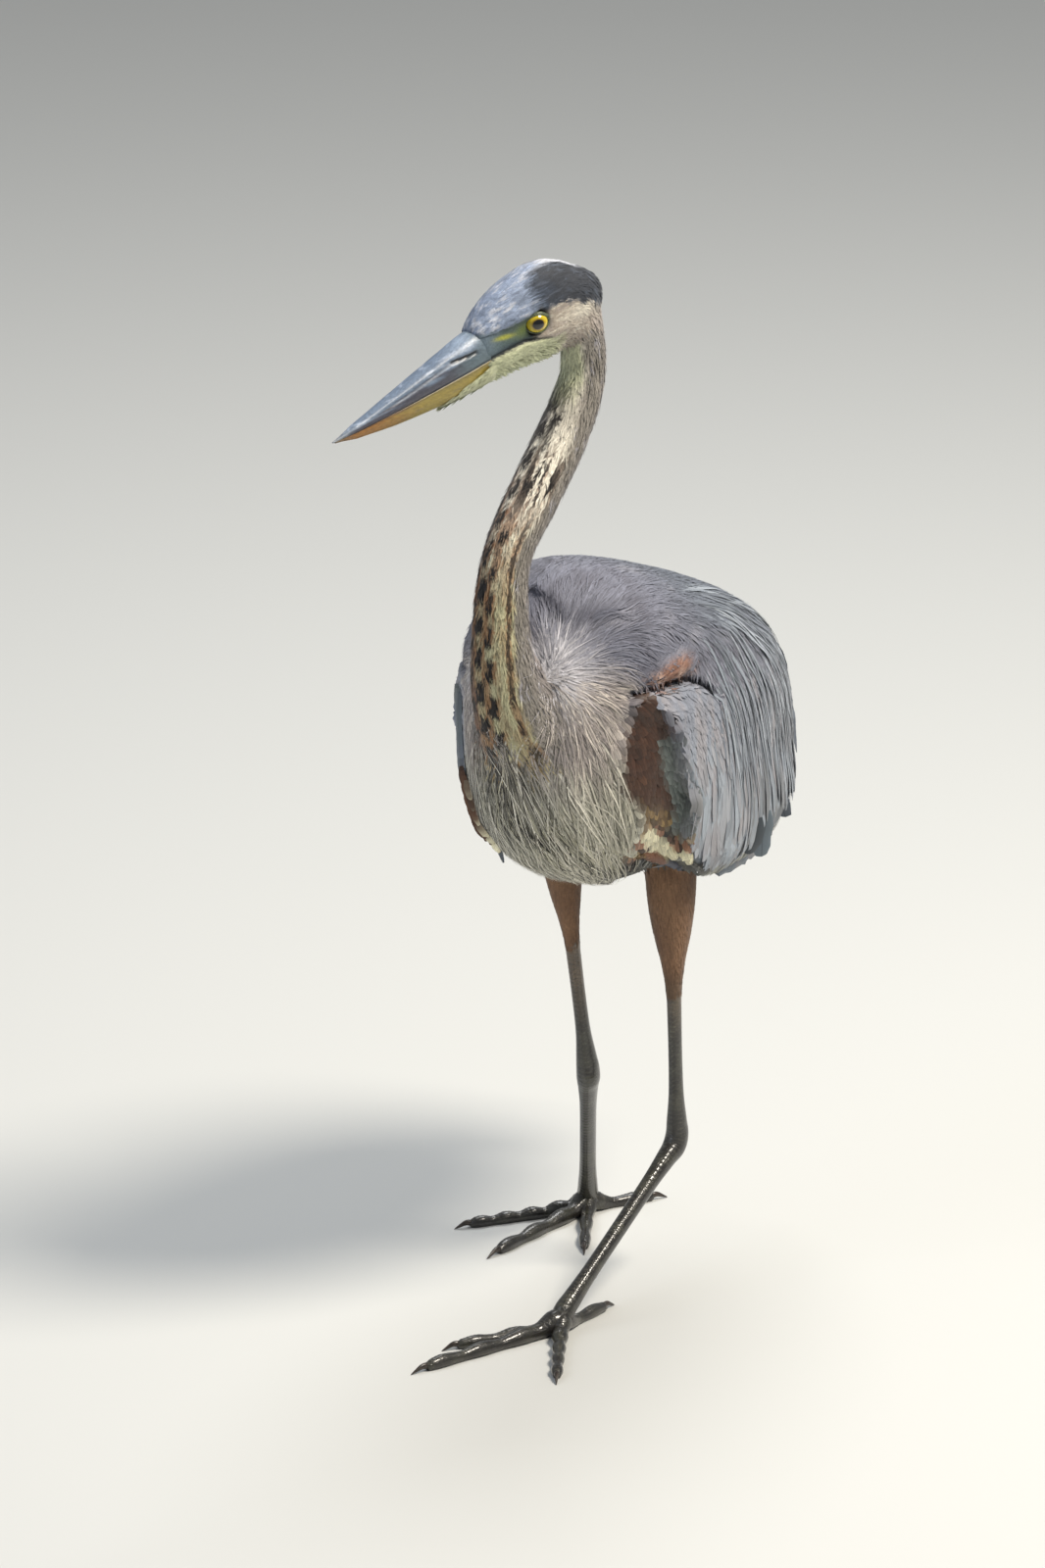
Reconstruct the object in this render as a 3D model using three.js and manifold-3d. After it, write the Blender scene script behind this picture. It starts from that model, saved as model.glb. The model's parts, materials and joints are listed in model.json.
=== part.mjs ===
// A great blue heron, life size, standing in a slow walking step with its neck drawn into an S.
// The bird faces -Y, its left side is +X, and the soles of both feet lie on z = 0. Millimetres.
import * as THREE from 'three';
import { mergeVertices } from 'three/addons/utils/BufferGeometryUtils.js';
import Module from 'manifold-3d';

const wasm = await Module();
wasm.setup();

// driving sizes
const gap = 0.35;
const billLength = 132;
const eyeToBill = 50;
const eyeRadius = 9.5;
const headHalfWidth = 19;
const wingThickness = 13;
const featherEdge = 1.6;

// joints of the skeleton
const headCentre = new THREE.Vector3(0, -173, 758);
const headForward = new THREE.Vector3(-0.336, -0.905, -0.259).normalize();
const leftAnkle = [37, -3, 100];
const leftFoot = [20, -150, 12.5];
const leftKnee = [44, -30, 350];
const rightAnkle = [-28, -17, 146];
const rightFoot = [-78, 78, 12.5];
const rightKnee = [-31, -64, 366];

// body sections: y, centre z, then half width, rise and drop of the plumage and of the trunk under it
const bodySections = [
  [-194, 470, 10, 18, 26, 10, 18, 26],
  [-184, 468, 30, 50, 62, 30, 50, 62],
  [-160, 462, 54, 90, 106, 52, 86, 106],
  [-120, 454, 79, 105, 124, 68, 98, 124],
  [-70, 444, 89, 108, 131, 75, 100, 131],
  [-20, 428, 93, 108, 125, 76, 100, 118],
  [40, 404, 89, 109, 105, 70, 99, 78],
  [100, 382, 76, 103, 82, 56, 92, 40],
  [150, 364, 50, 86, 58, 28, 70, 6],
  [182, 350, 24, 60, 46, 8, 40, 2],
];

function catmull(rows, t) {
  // smooth blend of the rows of a table, t from 0 to 1
  const last = rows.length - 1;
  const f = Math.min(Math.max(t, 0), 1) * last;
  const i = Math.min(Math.floor(f), last - 1);
  const u = f - i;
  const a = rows[Math.max(i - 1, 0)];
  const b = rows[i];
  const c = rows[i + 1];
  const d = rows[Math.min(i + 2, last)];
  return b.map((_, k) => 0.5 * (2 * b[k] + (c[k] - a[k]) * u
    + (2 * a[k] - 5 * b[k] + 4 * c[k] - d[k]) * u * u
    + (3 * b[k] - a[k] - 3 * c[k] + d[k]) * u * u * u));
}

function smooth(edge0, edge1, value) {
  const t = Math.min(Math.max((value - edge0) / (edge1 - edge0), 0), 1);
  return t * t * (3 - 2 * t);
}

const bodyCache = new Map();
function bodyAt(y) {
  // the body section whose y is asked for, found by halving
  const key = y.toFixed(3);
  if (bodyCache.has(key)) return bodyCache.get(key);
  let low = 0;
  let high = 1;
  for (let k = 0; k < 30; k++) {
    const mid = (low + high) / 2;
    if (catmull(bodySections, mid)[0] < y) low = mid;
    else high = mid;
  }
  const row = catmull(bodySections, (low + high) / 2);
  bodyCache.set(key, row);
  return row;
}

function bodyPoint(y, angle, layer) {
  // angle 0 is the back, 90 the left side, 180 the belly; layer 0 the trunk, 1 the plumage
  const [, z, w1, u1, d1, w0, u0, d0] = bodyAt(y);
  const a = THREE.MathUtils.degToRad(angle);
  const rise = Math.cos(a) > 0 ? [u0, u1] : [d0, d1];
  const w = w0 + (w1 - w0) * layer;
  const v = rise[0] + (rise[1] - rise[0]) * layer;
  const shoulder = -0.06 + 0.13 * smooth(-170, -70, y);
  const square = Math.cos(a) > 0 ? shoulder : 0.06 + 0.17 * layer * smooth(-120, 0, y);
  const flat = 1 + square * Math.sin(2 * a) ** 2;
  return new THREE.Vector3(w * Math.sin(a) * flat, y, z + v * Math.cos(a) * flat);
}

function layerFor(y, angle, thickness) {
  // the layer that lies a thickness under the plumage, but never inside the trunk
  const depth = bodyPoint(y, angle, 0).distanceTo(bodyPoint(y, angle, 1));
  const clear = Math.min(1.5 / Math.max(depth, 0.01), 0.8);
  return Math.max(clear, 1 - thickness / Math.max(depth, 0.01));
}

function closed(points, faces) {
  const flat = points.flatMap((p) => [p.x, p.y, p.z]);
  let geometry = new THREE.BufferGeometry();
  geometry.setAttribute('position', new THREE.BufferAttribute(new Float32Array(flat), 3));
  geometry.setIndex(faces.flat());
  geometry = mergeVertices(geometry, 1e-3);
  const index = geometry.index.array;
  const position = geometry.attributes.position;
  const corner = (k) => new THREE.Vector3().fromBufferAttribute(position, index[k]);
  const kept = [];
  let volume = 0;
  for (let k = 0; k < index.length; k += 3) {
    const [a, b, c] = [index[k], index[k + 1], index[k + 2]];
    if (a === b || b === c || a === c) continue;
    kept.push(a, b, c);
    volume += corner(k).dot(corner(k + 1).cross(corner(k + 2)));
  }
  if (volume < 0) kept.reverse();
  geometry.setIndex(kept);
  return geometry;
}

function toSolid(geometry) {
  const mesh = new wasm.Mesh({
    numProp: 3,
    vertProperties: new Float32Array(geometry.attributes.position.array),
    triVerts: new Uint32Array(geometry.index.array),
  });
  return new wasm.Manifold(mesh);
}

function largest(solid) {
  const pieces = solid.decompose();
  pieces.sort((a, b) => b.volume() - a.volume());
  return pieces[0];
}

function toGeometry(solid) {
  const mesh = solid.getMesh();
  const geometry = new THREE.BufferGeometry();
  const place = new THREE.BufferAttribute(new Float32Array(mesh.vertProperties), 3);
  geometry.setAttribute('position', place);
  geometry.setIndex(new THREE.BufferAttribute(new Uint32Array(mesh.triVerts), 1));
  return geometry;
}

function ringFaces(rings, sides, points, firstTip, lastTip) {
  const faces = [];
  for (let i = 0; i < rings - 1; i++) {
    for (let j = 0; j < sides; j++) {
      const a = i * sides + j;
      const b = i * sides + (j + 1) % sides;
      faces.push([a, b, b + sides], [a, b + sides, a + sides]);
    }
  }
  const head = points.push(firstTip) - 1;
  const tail = points.push(lastTip) - 1;
  const end = (rings - 1) * sides;
  for (let j = 0; j < sides; j++) {
    faces.push([head, (j + 1) % sides, j], [tail, end + j, end + (j + 1) % sides]);
  }
  return faces;
}

// a closed tube along stations [x, y, z, half width, rise, drop], round at both ends
function loft(stations, rings, sides, options = {}) {
  const { sideways = new THREE.Vector3(1, 0, 0), grow = 0, floor = -1e9, lift = 0, blunt = 0.35 } = options;
  const points = [];
  const place = (t) => {
    const row = catmull(stations, t);
    return { at: new THREE.Vector3(row[0], row[1], row[2]), size: row.slice(3).map((r) => Math.max(r, 0.4) + grow) };
  };
  const tangentAt = (t) => {
    const a = place(Math.max(t - 0.01, 0)).at;
    const b = place(Math.min(t + 0.01, 1)).at;
    return b.sub(a).normalize();
  };
  for (let i = 0; i < rings; i++) {
    const t = i / (rings - 1);
    const { at, size } = place(t);
    const tangent = tangentAt(t);
    const side = sideways.clone().addScaledVector(tangent, -sideways.dot(tangent)).normalize();
    const up = side.clone().cross(tangent).normalize();
    for (let j = 0; j < sides; j++) {
      const a = (j + 0.5) / sides * Math.PI * 2;
      const rise = Math.sin(a) > 0 ? size[1] : size[2];
      const p = at.clone().addScaledVector(side, Math.cos(a) * size[0]).addScaledVector(up, Math.sin(a) * rise);
      p.z = Math.max(p.z, floor) + lift;
      points.push(p);
    }
  }
  const first = place(0);
  const last = place(1);
  const headTip = first.at.clone().addScaledVector(tangentAt(0), -first.size[0] * blunt);
  const tailTip = last.at.clone().addScaledVector(tangentAt(1), last.size[0] * blunt);
  headTip.z = Math.max(headTip.z, floor);
  tailTip.z = Math.max(tailTip.z, floor);
  const faces = ringFaces(rings, sides, points, headTip, tailTip);
  return closed(points, faces);
}

// a closed sheet between two surfaces given as functions of u and v from 0 to 1
function sheet(outer, inner, nu, nv) {
  const points = [];
  for (const surface of [outer, inner]) {
    for (let i = 0; i <= nu; i++) {
      for (let j = 0; j <= nv; j++) points.push(surface(i / nu, j / nv));
    }
  }
  const half = (nu + 1) * (nv + 1);
  const id = (i, j, k) => k * half + i * (nv + 1) + j;
  const faces = [];
  const quad = (a, b, c, d) => faces.push([a, b, c], [a, c, d]);
  for (let i = 0; i < nu; i++) {
    for (let j = 0; j < nv; j++) {
      quad(id(i, j, 0), id(i + 1, j, 0), id(i + 1, j + 1, 0), id(i, j + 1, 0));
      quad(id(i, j, 1), id(i, j + 1, 1), id(i + 1, j + 1, 1), id(i + 1, j, 1));
    }
  }
  for (let i = 0; i < nu; i++) {
    quad(id(i, 0, 0), id(i, 0, 1), id(i + 1, 0, 1), id(i + 1, 0, 0));
    quad(id(i, nv, 0), id(i + 1, nv, 0), id(i + 1, nv, 1), id(i, nv, 1));
  }
  for (let j = 0; j < nv; j++) {
    quad(id(0, j, 0), id(0, j + 1, 0), id(0, j + 1, 1), id(0, j, 1));
    quad(id(nu, j, 0), id(nu, j, 1), id(nu, j + 1, 1), id(nu, j + 1, 0));
  }
  return closed(points, faces);
}

const bird = new THREE.Group();
const tones = {
  plumage: [0x7b7f86, 0.85],
  neck: [0x94908f, 0.85],
  head: [0x9aa0a8, 0.8],
  dark: [0x3f4650, 0.75],
  rufous: [0x8f5f3c, 0.85],
  bill: [0x8c8455, 0.4],
  leg: [0x4a4638, 0.45],
  claw: [0x2b2723, 0.4],
  eye: [0xd8b52a, 0.1],
};

function add(name, geometry, tone) {
  const [color, roughness] = tones[tone];
  const material = new THREE.MeshStandardMaterial({ color, roughness, metalness: 0 });
  const mesh = new THREE.Mesh(geometry, material);
  mesh.name = name;
  bird.add(mesh);
  return mesh;
}

// a large block on one side of a plane, used to part two neighbours
function halfSpace(point, normal, shift) {
  const size = 900;
  const box = new THREE.BoxGeometry(size, size, size);
  box.translate(0, 0, -size / 2);
  const turn = new THREE.Quaternion().setFromUnitVectors(new THREE.Vector3(0, 0, 1), normal);
  const at = point.clone().addScaledVector(normal, -shift);
  box.applyMatrix4(new THREE.Matrix4().compose(at, turn, new THREE.Vector3(1, 1, 1)));
  box.deleteAttribute('normal');
  box.deleteAttribute('uv');
  return toSolid(mergeVertices(box));
}

// trunk
function trunkGeometry(grow) {
  const rings = 17;
  const sides = 20;
  const points = [];
  for (let i = 0; i < rings; i++) {
    const y = -194 + i / (rings - 1) * (164 + 194);
    for (let j = 0; j < sides; j++) {
      const angle = (j + 0.5) / sides * 360;
      const p = bodyPoint(y, angle, 0);
      const z = bodyAt(y)[1];
      const out = new THREE.Vector3(p.x, 0, p.z - z).normalize().multiplyScalar(grow);
      points.push(p.add(out));
    }
  }
  const front = new THREE.Vector3(0, -201 - grow, 470);
  const back = new THREE.Vector3(0, 168 + grow, 386);
  return closed(points, ringFaces(rings, sides, points, front, back));
}

// neck, from inside the breast up to the back of the head
const neckStations = [
  [0, -120, 440, 40, 40, 44],
  [0, -165, 452, 34, 34, 38],
  [0, -196, 490, 25, 23, 25],
  [-1, -201, 538, 20, 20, 20],
  [0, -194, 586, 17, 18, 18],
  [6, -164, 624, 18, 20, 20],
  [12, -129, 664, 17.5, 20, 20],
  [17, -112, 702, 15.5, 18, 17],
  [18, -123, 743, 15.5, 17, 18],
];
const neckTurn = new THREE.Vector3(1, 0, 0);

// head, in its own frame: forward, left and up
const headLeft = new THREE.Vector3().crossVectors(new THREE.Vector3(0, 0, 1), headForward).negate().normalize();
if (headLeft.x < 0) headLeft.negate();
const headUp = new THREE.Vector3().crossVectors(headForward, headLeft).normalize();
function headPoint(forward, left, up) {
  return headCentre.clone().addScaledVector(headForward, forward)
    .addScaledVector(headLeft, left).addScaledVector(headUp, up);
}
function headLoft(rows, rings, sides, options = {}) {
  const stations = rows.map(([f, up, w, rise, drop]) => {
    const p = headPoint(f, 0, up);
    return [p.x, p.y, p.z, w, rise, drop];
  });
  return loft(stations, rings, sides, { sideways: headLeft.clone().negate(), ...options });
}
const headRows = [
  [-64, -22, 9, 14, 12],
  [-52, -16, 16, 22, 24],
  [-30, -6, 19.5, 26, 38],
  [-8, 0, 20, 26.5, 41],
  [14, -1, 18, 26.5, 38],
  [34, -5, 15.5, 22.5, 33],
  [eyeToBill, -8, 12, 14.5, 27.5],
];
const billRows = [
  [eyeToBill, -8, 12, 14.5, 27.5],
  [eyeToBill + 0.3 * billLength, -11.2, 9.5, 10.2, 22],
  [eyeToBill + 0.6 * billLength, -14.2, 7, 6.2, 14.5],
  [eyeToBill + 0.85 * billLength, -16.2, 3.6, 3, 6.5],
  [eyeToBill + billLength, -16.8, 0.8, 0.8, 0.8],
];

const trunkSolid = toSolid(trunkGeometry(0));
const headWhole = toSolid(headLoft(headRows, 11, 18));
const neckWhole = toSolid(loft(neckStations, 22, 14, { sideways: neckTurn }));
const eyes = {};
let headSolid = headWhole;
for (const [side, sign] of [['left', 1], ['right', -1]]) {
  const eye = new THREE.SphereGeometry(eyeRadius, 14, 10);
  const socket = new THREE.SphereGeometry(eyeRadius + gap, 14, 10);
  const at = headPoint(0, sign * (headHalfWidth - 6.4), -6);
  for (const geometry of [eye, socket]) {
    geometry.deleteAttribute('normal');
    geometry.deleteAttribute('uv');
    geometry.translate(at.x, at.y, at.z);
  }
  eyes[side] = mergeVertices(eye);
  headSolid = headSolid.subtract(toSolid(mergeVertices(socket)));
}
const billCut = headPoint(eyeToBill, 0, 0);
headSolid = headSolid.intersect(halfSpace(billCut, headForward, gap / 2));
add('head', toGeometry(largest(headSolid)), 'head');
add('eye_left', eyes.left, 'eye');
add('eye_right', eyes.right, 'eye');

const billWhole = toSolid(headLoft(billRows, 9, 14)).subtract(halfSpace(billCut, headForward, -gap / 2));
const gapeNormal = headUp.clone().addScaledVector(headForward, 0.005).normalize();
const gapePoint = headPoint(eyeToBill, 0, -16.2);
add('bill_upper', toGeometry(largest(billWhole.subtract(halfSpace(gapePoint, gapeNormal, -gap / 2)))), 'bill');
add('bill_lower', toGeometry(largest(billWhole.intersect(halfSpace(gapePoint, gapeNormal, gap / 2)))), 'bill');

const neckGrown = toSolid(loft(neckStations, 22, 14, { sideways: neckTurn, grow: gap }));
const trunkGrown = toSolid(trunkGeometry(gap * 2));
const headGrown = toSolid(headLoft(headRows, 11, 18, { grow: gap }));
const neckFree = neckWhole.subtract(trunkGrown).subtract(headGrown);
const neckJoints = [
  [new THREE.Vector3(0, -198, 560), new THREE.Vector3(0, 0.05, 1).normalize()],
  [new THREE.Vector3(9, -140, 650), new THREE.Vector3(0.1, 0.6, 0.8).normalize()],
];
const lowerCut = neckJoints[0];
const upperCut = neckJoints[1];
add('neck_lower', toGeometry(largest(neckFree.intersect(halfSpace(...lowerCut, gap / 2)))), 'neck');
const middle = neckFree.subtract(halfSpace(...lowerCut, -gap / 2)).intersect(halfSpace(...upperCut, gap / 2));
add('neck_middle', toGeometry(largest(middle)), 'neck');
add('neck_upper', toGeometry(largest(neckFree.subtract(halfSpace(...upperCut, -gap / 2)))), 'neck');

// the angle where the scapulars meet the wing
function scapularEdge(y) {
  return 34 + 18 * Math.sin(Math.PI * Math.min(Math.max((y + 158) / 320, 0), 1));
}

// scapulars: the plumage of the back, in a left and a right half
function scapulars(sign) {
  const place = (u, v, outer) => {
    const y = -158 + u * (318 - 24 * v * v);
    const angle = sign * (0.4 + v * (scapularEdge(y) - 0.4));
    const edge = Math.min(u, 1 - u) < 1e-6;
    const lower = layerFor(y, angle, edge ? featherEdge : 20);
    return bodyPoint(y, angle, outer ? 1 : lower);
  };
  return sheet((u, v) => place(u, v, true), (u, v) => place(u, v, false), 12, 5);
}
add('scapulars_left', scapulars(1), 'plumage');
add('scapulars_right', scapulars(-1), 'plumage');

// wings: a blade over each flank, split into arm, secondaries and primaries
function wing(sign, v0, v1, u0, u1, nu, nv, topGap) {
  const place = (s, r, outer) => {
    const u = u0 + (u1 - u0) * s;
    const v = v0 + (v1 - v0) * r;
    const front = outer ? -112 - 12 * v : -136 - 6 * v;
    const back = 134 + 40 * v;
    const y = front + (back - front) * u;
    const top = scapularEdge(y) + topGap;
    const bottom = 140 + 4 * u;
    const angle = sign * (top + (bottom - top) * v);
    const edge = (v1 > 0.99 && r > 0.999) || (u1 > 0.99 && s > 0.999);
    const lower = layerFor(y, angle, edge ? featherEdge : wingThickness);
    return bodyPoint(y, angle, outer ? 1 : lower);
  };
  return sheet((s, r) => place(s, r, true), (s, r) => place(s, r, false), nu, nv);
}
for (const [side, sign] of [['left', 1], ['right', -1]]) {
  add(`wing_arm_${side}`, wing(sign, 0, 0.46, 0, 1, 13, 5, 0.6), 'plumage');
  add(`secondaries_${side}`, wing(sign, 0.466, 0.86, 0, 1, 13, 4, 0.6), 'plumage');
  add(`primaries_${side}`, wing(sign, 0.866, 1, 0, 1, 13, 2, 0.6), 'dark');
}

// tail
const tailStations = [
  [0, 140, 400, 20, 14, 14],
  [0, 170, 368, 27, 8, 8],
  [0, 191, 331, 30, 4, 4.5],
  [-3, 203, 283, 22, 2, 2],
];
const tailSolid = toSolid(loft(tailStations, 7, 14)).subtract(trunkGrown);
add('tail', toGeometry(largest(tailSolid)), 'dark');

// legs
function limb(a, b, sizes, rings, sides, start, end) {
  const from = new THREE.Vector3(...a);
  const to = new THREE.Vector3(...b);
  const rows = sizes.map(([w, d], k) => {
    const p = from.clone().lerp(to, start + (end - start) * k / (sizes.length - 1));
    return [p.x, p.y, p.z, w, d, d];
  });
  return loft(rows, rings, sides, { blunt: 0.3 });
}
const thighSizes = {
  left: [[7, 8], [10, 12], [16, 19], [18, 23], [14, 20]],
  right: [[7, 8], [8.5, 10.5], [12.5, 16], [15.5, 20], [13, 19]],
};
const shinSizes = [[8, 9], [5.2, 5.6], [5, 5.4], [5.4, 5.8]];
const tarsusSizes = [[8.4, 9.2], [5.8, 6.4], [5.6, 6.2], [7.2, 7.8]];

// a toe along the floor, its heading in degrees from straight ahead, positive to the left
function toeRows(foot, heading, length, width) {
  const a = THREE.MathUtils.degToRad(heading);
  const dir = new THREE.Vector3(Math.sin(a), -Math.cos(a), 0);
  const rows = [];
  for (let k = 0; k <= 6; k++) {
    const p = new THREE.Vector3(foot[0], foot[1], 0).addScaledVector(dir, 5.5 + (length - 5.5) * k / 6);
    const ball = 1 + 0.42 * Math.max(0, 1 - k / 2);
    const w = width * ball * (1 - 0.28 * k / 6) * (k % 2 ? 0.92 : 1.06);
    rows.push([p.x, p.y, w * 0.78, w, w, w]);
  }
  return { rows, dir };
}
function toe(foot, heading, length, width) {
  const { rows, dir } = toeRows(foot, heading, length, width);
  const side = new THREE.Vector3(-dir.y, dir.x, 0);
  return loft(rows, 9, 8, { sideways: side, floor: 0, blunt: 0.3 });
}
function claw(foot, heading, length, width, reach) {
  const a = THREE.MathUtils.degToRad(heading);
  const dir = new THREE.Vector3(Math.sin(a), -Math.cos(a), 0);
  const start = new THREE.Vector3(foot[0], foot[1], 0).addScaledVector(dir, length + width * 0.3 + gap);
  const rows = [[0, 3.2, 2.4], [0.35, 3.4, 2.1], [0.7, 2.4, 1.3], [1, 0.8, 0.5]].map(([s, z, w]) => {
    const p = start.clone().addScaledVector(dir, s * reach);
    return [p.x, p.y, z, w, w, w];
  });
  const side = new THREE.Vector3(-dir.y, dir.x, 0);
  return loft(rows, 6, 8, { sideways: side, floor: 0.2, blunt: 0 });
}
const toeWidth = 5.8;
const feet = {
  left: { foot: leftFoot, middle: [-23, 121], outer: [26, 92], inner: [-37, 80], hind: [172, 52] },
  right: { foot: rightFoot, middle: [-8, 110], outer: [-40, 92], inner: [26, 80], hind: [144, 52] },
};
const legs = {
  left: [leftKnee, leftAnkle, leftFoot],
  right: [rightKnee, rightAnkle, rightFoot],
};
const bodyWhole = trunkGrown;
for (const side of ['left', 'right']) {
  const [knee, ankle, foot] = legs[side];
  const sizes = thighSizes[side];
  const thigh = toSolid(limb(ankle, knee, sizes, 9, 14, 0.44, 1)).subtract(bodyWhole);
  add(`thigh_${side}`, toGeometry(largest(thigh)), 'rufous');
  const shin = toSolid(limb(ankle, knee, shinSizes, 9, 10, 0, 0.46));
  const thighGrown = toSolid(limb(ankle, knee, sizes.map(([w, d]) => [w + gap, d + gap]), 9, 14, 0.44, 1));
  add(`shin_${side}`, toGeometry(largest(shin.subtract(thighGrown))), 'leg');
  const shinGrown = toSolid(limb(ankle, knee, shinSizes.map(([w, d]) => [w + gap, d + gap]), 9, 10, 0, 0.46));
  const tarsus = toSolid(limb(foot, ankle, tarsusSizes.slice().reverse(), 10, 10, 0.01, 1)).subtract(shinGrown);
  const plan = feet[side];
  let footSolid = tarsus.subtract(halfSpace(new THREE.Vector3(0, 0, 0.2), new THREE.Vector3(0, 0, 1), 0));
  for (const name of ['middle', 'outer', 'inner', 'hind']) {
    const [heading, length] = plan[name];
    const width = name === 'middle' ? toeWidth : toeWidth * 0.9;
    let piece = toSolid(toe(foot, heading, length, width));
    piece = piece.subtract(toSolid(limb(foot, ankle, tarsusSizes.slice().reverse()
      .map(([w, d]) => [w + gap, d + gap]), 10, 10, 0.01, 1)));
    for (const other of ['middle', 'outer', 'inner', 'hind']) {
      if (other === name) break;
      const [h, l] = plan[other];
      const w = (other === 'middle' ? toeWidth : toeWidth * 0.9) + gap;
      piece = piece.subtract(toSolid(toe(foot, h, l, w)));
    }
    add(`toe_${name}_${side}`, toGeometry(largest(piece)), 'leg');
    add(`claw_${name}_${side}`, claw(foot, heading, length, width * 0.72, name === 'middle' ? 13 : 11), 'claw');
  }
  add(`tarsus_${side}`, toGeometry(largest(footSolid)), 'leg');
}

add('trunk', toGeometry(largest(trunkSolid)), 'plumage');

// the origin is the middle of the foot of the bounding box
const box = new THREE.Box3().setFromObject(bird);
bird.position.set(-(box.min.x + box.max.x) / 2, -(box.min.y + box.max.y) / 2, -box.min.z);

export default bird;
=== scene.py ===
import json
import math
import bmesh
import bpy
import numpy as np
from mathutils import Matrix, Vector
from mathutils.bvhtree import BVHTree

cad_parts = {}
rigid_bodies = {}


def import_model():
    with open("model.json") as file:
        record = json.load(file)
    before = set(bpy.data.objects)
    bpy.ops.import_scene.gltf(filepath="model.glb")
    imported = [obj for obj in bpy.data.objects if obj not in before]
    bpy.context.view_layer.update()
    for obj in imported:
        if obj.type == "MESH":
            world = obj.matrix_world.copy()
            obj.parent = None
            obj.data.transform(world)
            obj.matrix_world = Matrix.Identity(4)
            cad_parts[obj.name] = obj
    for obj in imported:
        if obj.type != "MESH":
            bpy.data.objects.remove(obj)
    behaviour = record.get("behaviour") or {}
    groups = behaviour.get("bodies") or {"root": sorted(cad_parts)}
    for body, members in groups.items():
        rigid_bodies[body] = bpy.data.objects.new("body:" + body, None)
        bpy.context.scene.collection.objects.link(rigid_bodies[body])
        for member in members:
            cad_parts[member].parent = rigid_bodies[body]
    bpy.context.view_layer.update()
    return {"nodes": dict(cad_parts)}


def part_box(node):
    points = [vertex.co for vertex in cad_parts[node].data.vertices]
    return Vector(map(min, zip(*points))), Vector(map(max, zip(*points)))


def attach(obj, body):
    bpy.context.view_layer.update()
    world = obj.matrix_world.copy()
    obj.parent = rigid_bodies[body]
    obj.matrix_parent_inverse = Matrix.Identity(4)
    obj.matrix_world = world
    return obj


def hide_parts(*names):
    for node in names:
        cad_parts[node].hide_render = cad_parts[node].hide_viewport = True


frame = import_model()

mm = 0.001


# where the bird's own coordinates lie: -Y is ahead, +X its left, soles at z = 0
def unit(v):
    v = np.asarray(v, float)
    return v / np.maximum(np.linalg.norm(v, axis=-1, keepdims=True), 1e-12)


headAhead = unit([-0.336, -0.905, -0.259])
headLeft = unit(np.cross(headAhead, [0, 0, 1]) * -1)
headLeft = headLeft if headLeft[0] > 0 else -headLeft
headUp = unit(np.cross(headAhead, headLeft))
headCentre = np.array([0.0, -173.0, 758.0])
eyeAt = (0.0, 12.6, -6.0)    # ahead, left, up from the middle of the head, in mm


def headPoint(ahead, left, up):
    return headCentre + ahead * headAhead + left * headLeft + up * headUp


lowEye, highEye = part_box("eye_left")
home = np.array((lowEye + highEye) / 2) - headPoint(*eyeAt) * mm    # the row frame's shift, in metres


def world(p):
    return np.asarray(p, float) * mm + home


def bird(p):
    return (np.asarray(p, float) - home) / mm


# the middle line of the neck, from its root in the breast to the head, in mm
neckStations = np.array([
    [0, -120, 440], [0, -165, 452], [0, -196, 490], [-1, -201, 538], [0, -194, 586],
    [6, -164, 624], [12, -129, 664], [17, -112, 702], [18, -123, 743]], float)


def catmull(rows, t):
    last = len(rows) - 1
    f = np.clip(np.asarray(t, float), 0, 1) * last
    i = np.minimum(f.astype(int), last - 1)
    u = (f - i)[..., None]
    a, b, c, d = rows[np.maximum(i - 1, 0)], rows[i], rows[i + 1], rows[np.minimum(i + 2, last)]
    return 0.5 * (2 * b + (c - a) * u + (2 * a - 5 * b + 4 * c - d) * u ** 2 + (3 * b - a - 3 * c + d)
                  * u ** 3)


def ease(edge0, edge1, x):
    t = np.clip((np.asarray(x, float) - edge0) / (edge1 - edge0), 0, 1)
    return t * t * (3 - 2 * t)


def hexColour(text):
    c = np.array([int(text[k:k + 2], 16) / 255 for k in (0, 2, 4)])
    return np.where(c <= 0.04045, c / 12.92, ((c + 0.055) / 1.055) ** 2.4)


def noise3(p, seed=0):
    # smooth value noise, about one bump per unit, from 0 to 1
    p = np.asarray(p, float) + seed * 17.3
    i = np.floor(p).astype(np.int64)
    f = p - i
    f = f * f * (3 - 2 * f)
    total = 0
    for dx in (0, 1):
        for dy in (0, 1):
            for dz in (0, 1):
                h = (i[..., 0] + dx) * 374761393 + (i[..., 1] + dy) * 668265263 + (i[..., 2]
                                                                                   + dz) * 2147483647
                h = (h ^ (h >> 13)) * 1274126177
                h = ((h ^ (h >> 16)) & 0xffff) / 65535
                wx = f[..., 0] if dx else 1 - f[..., 0]
                wy = f[..., 1] if dy else 1 - f[..., 1]
                wz = f[..., 2] if dz else 1 - f[..., 2]
                total = total + h * wx * wy * wz
    return total


# meshes
def deselectAll():
    for o in bpy.context.view_layer.objects:
        o.select_set(False)


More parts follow.
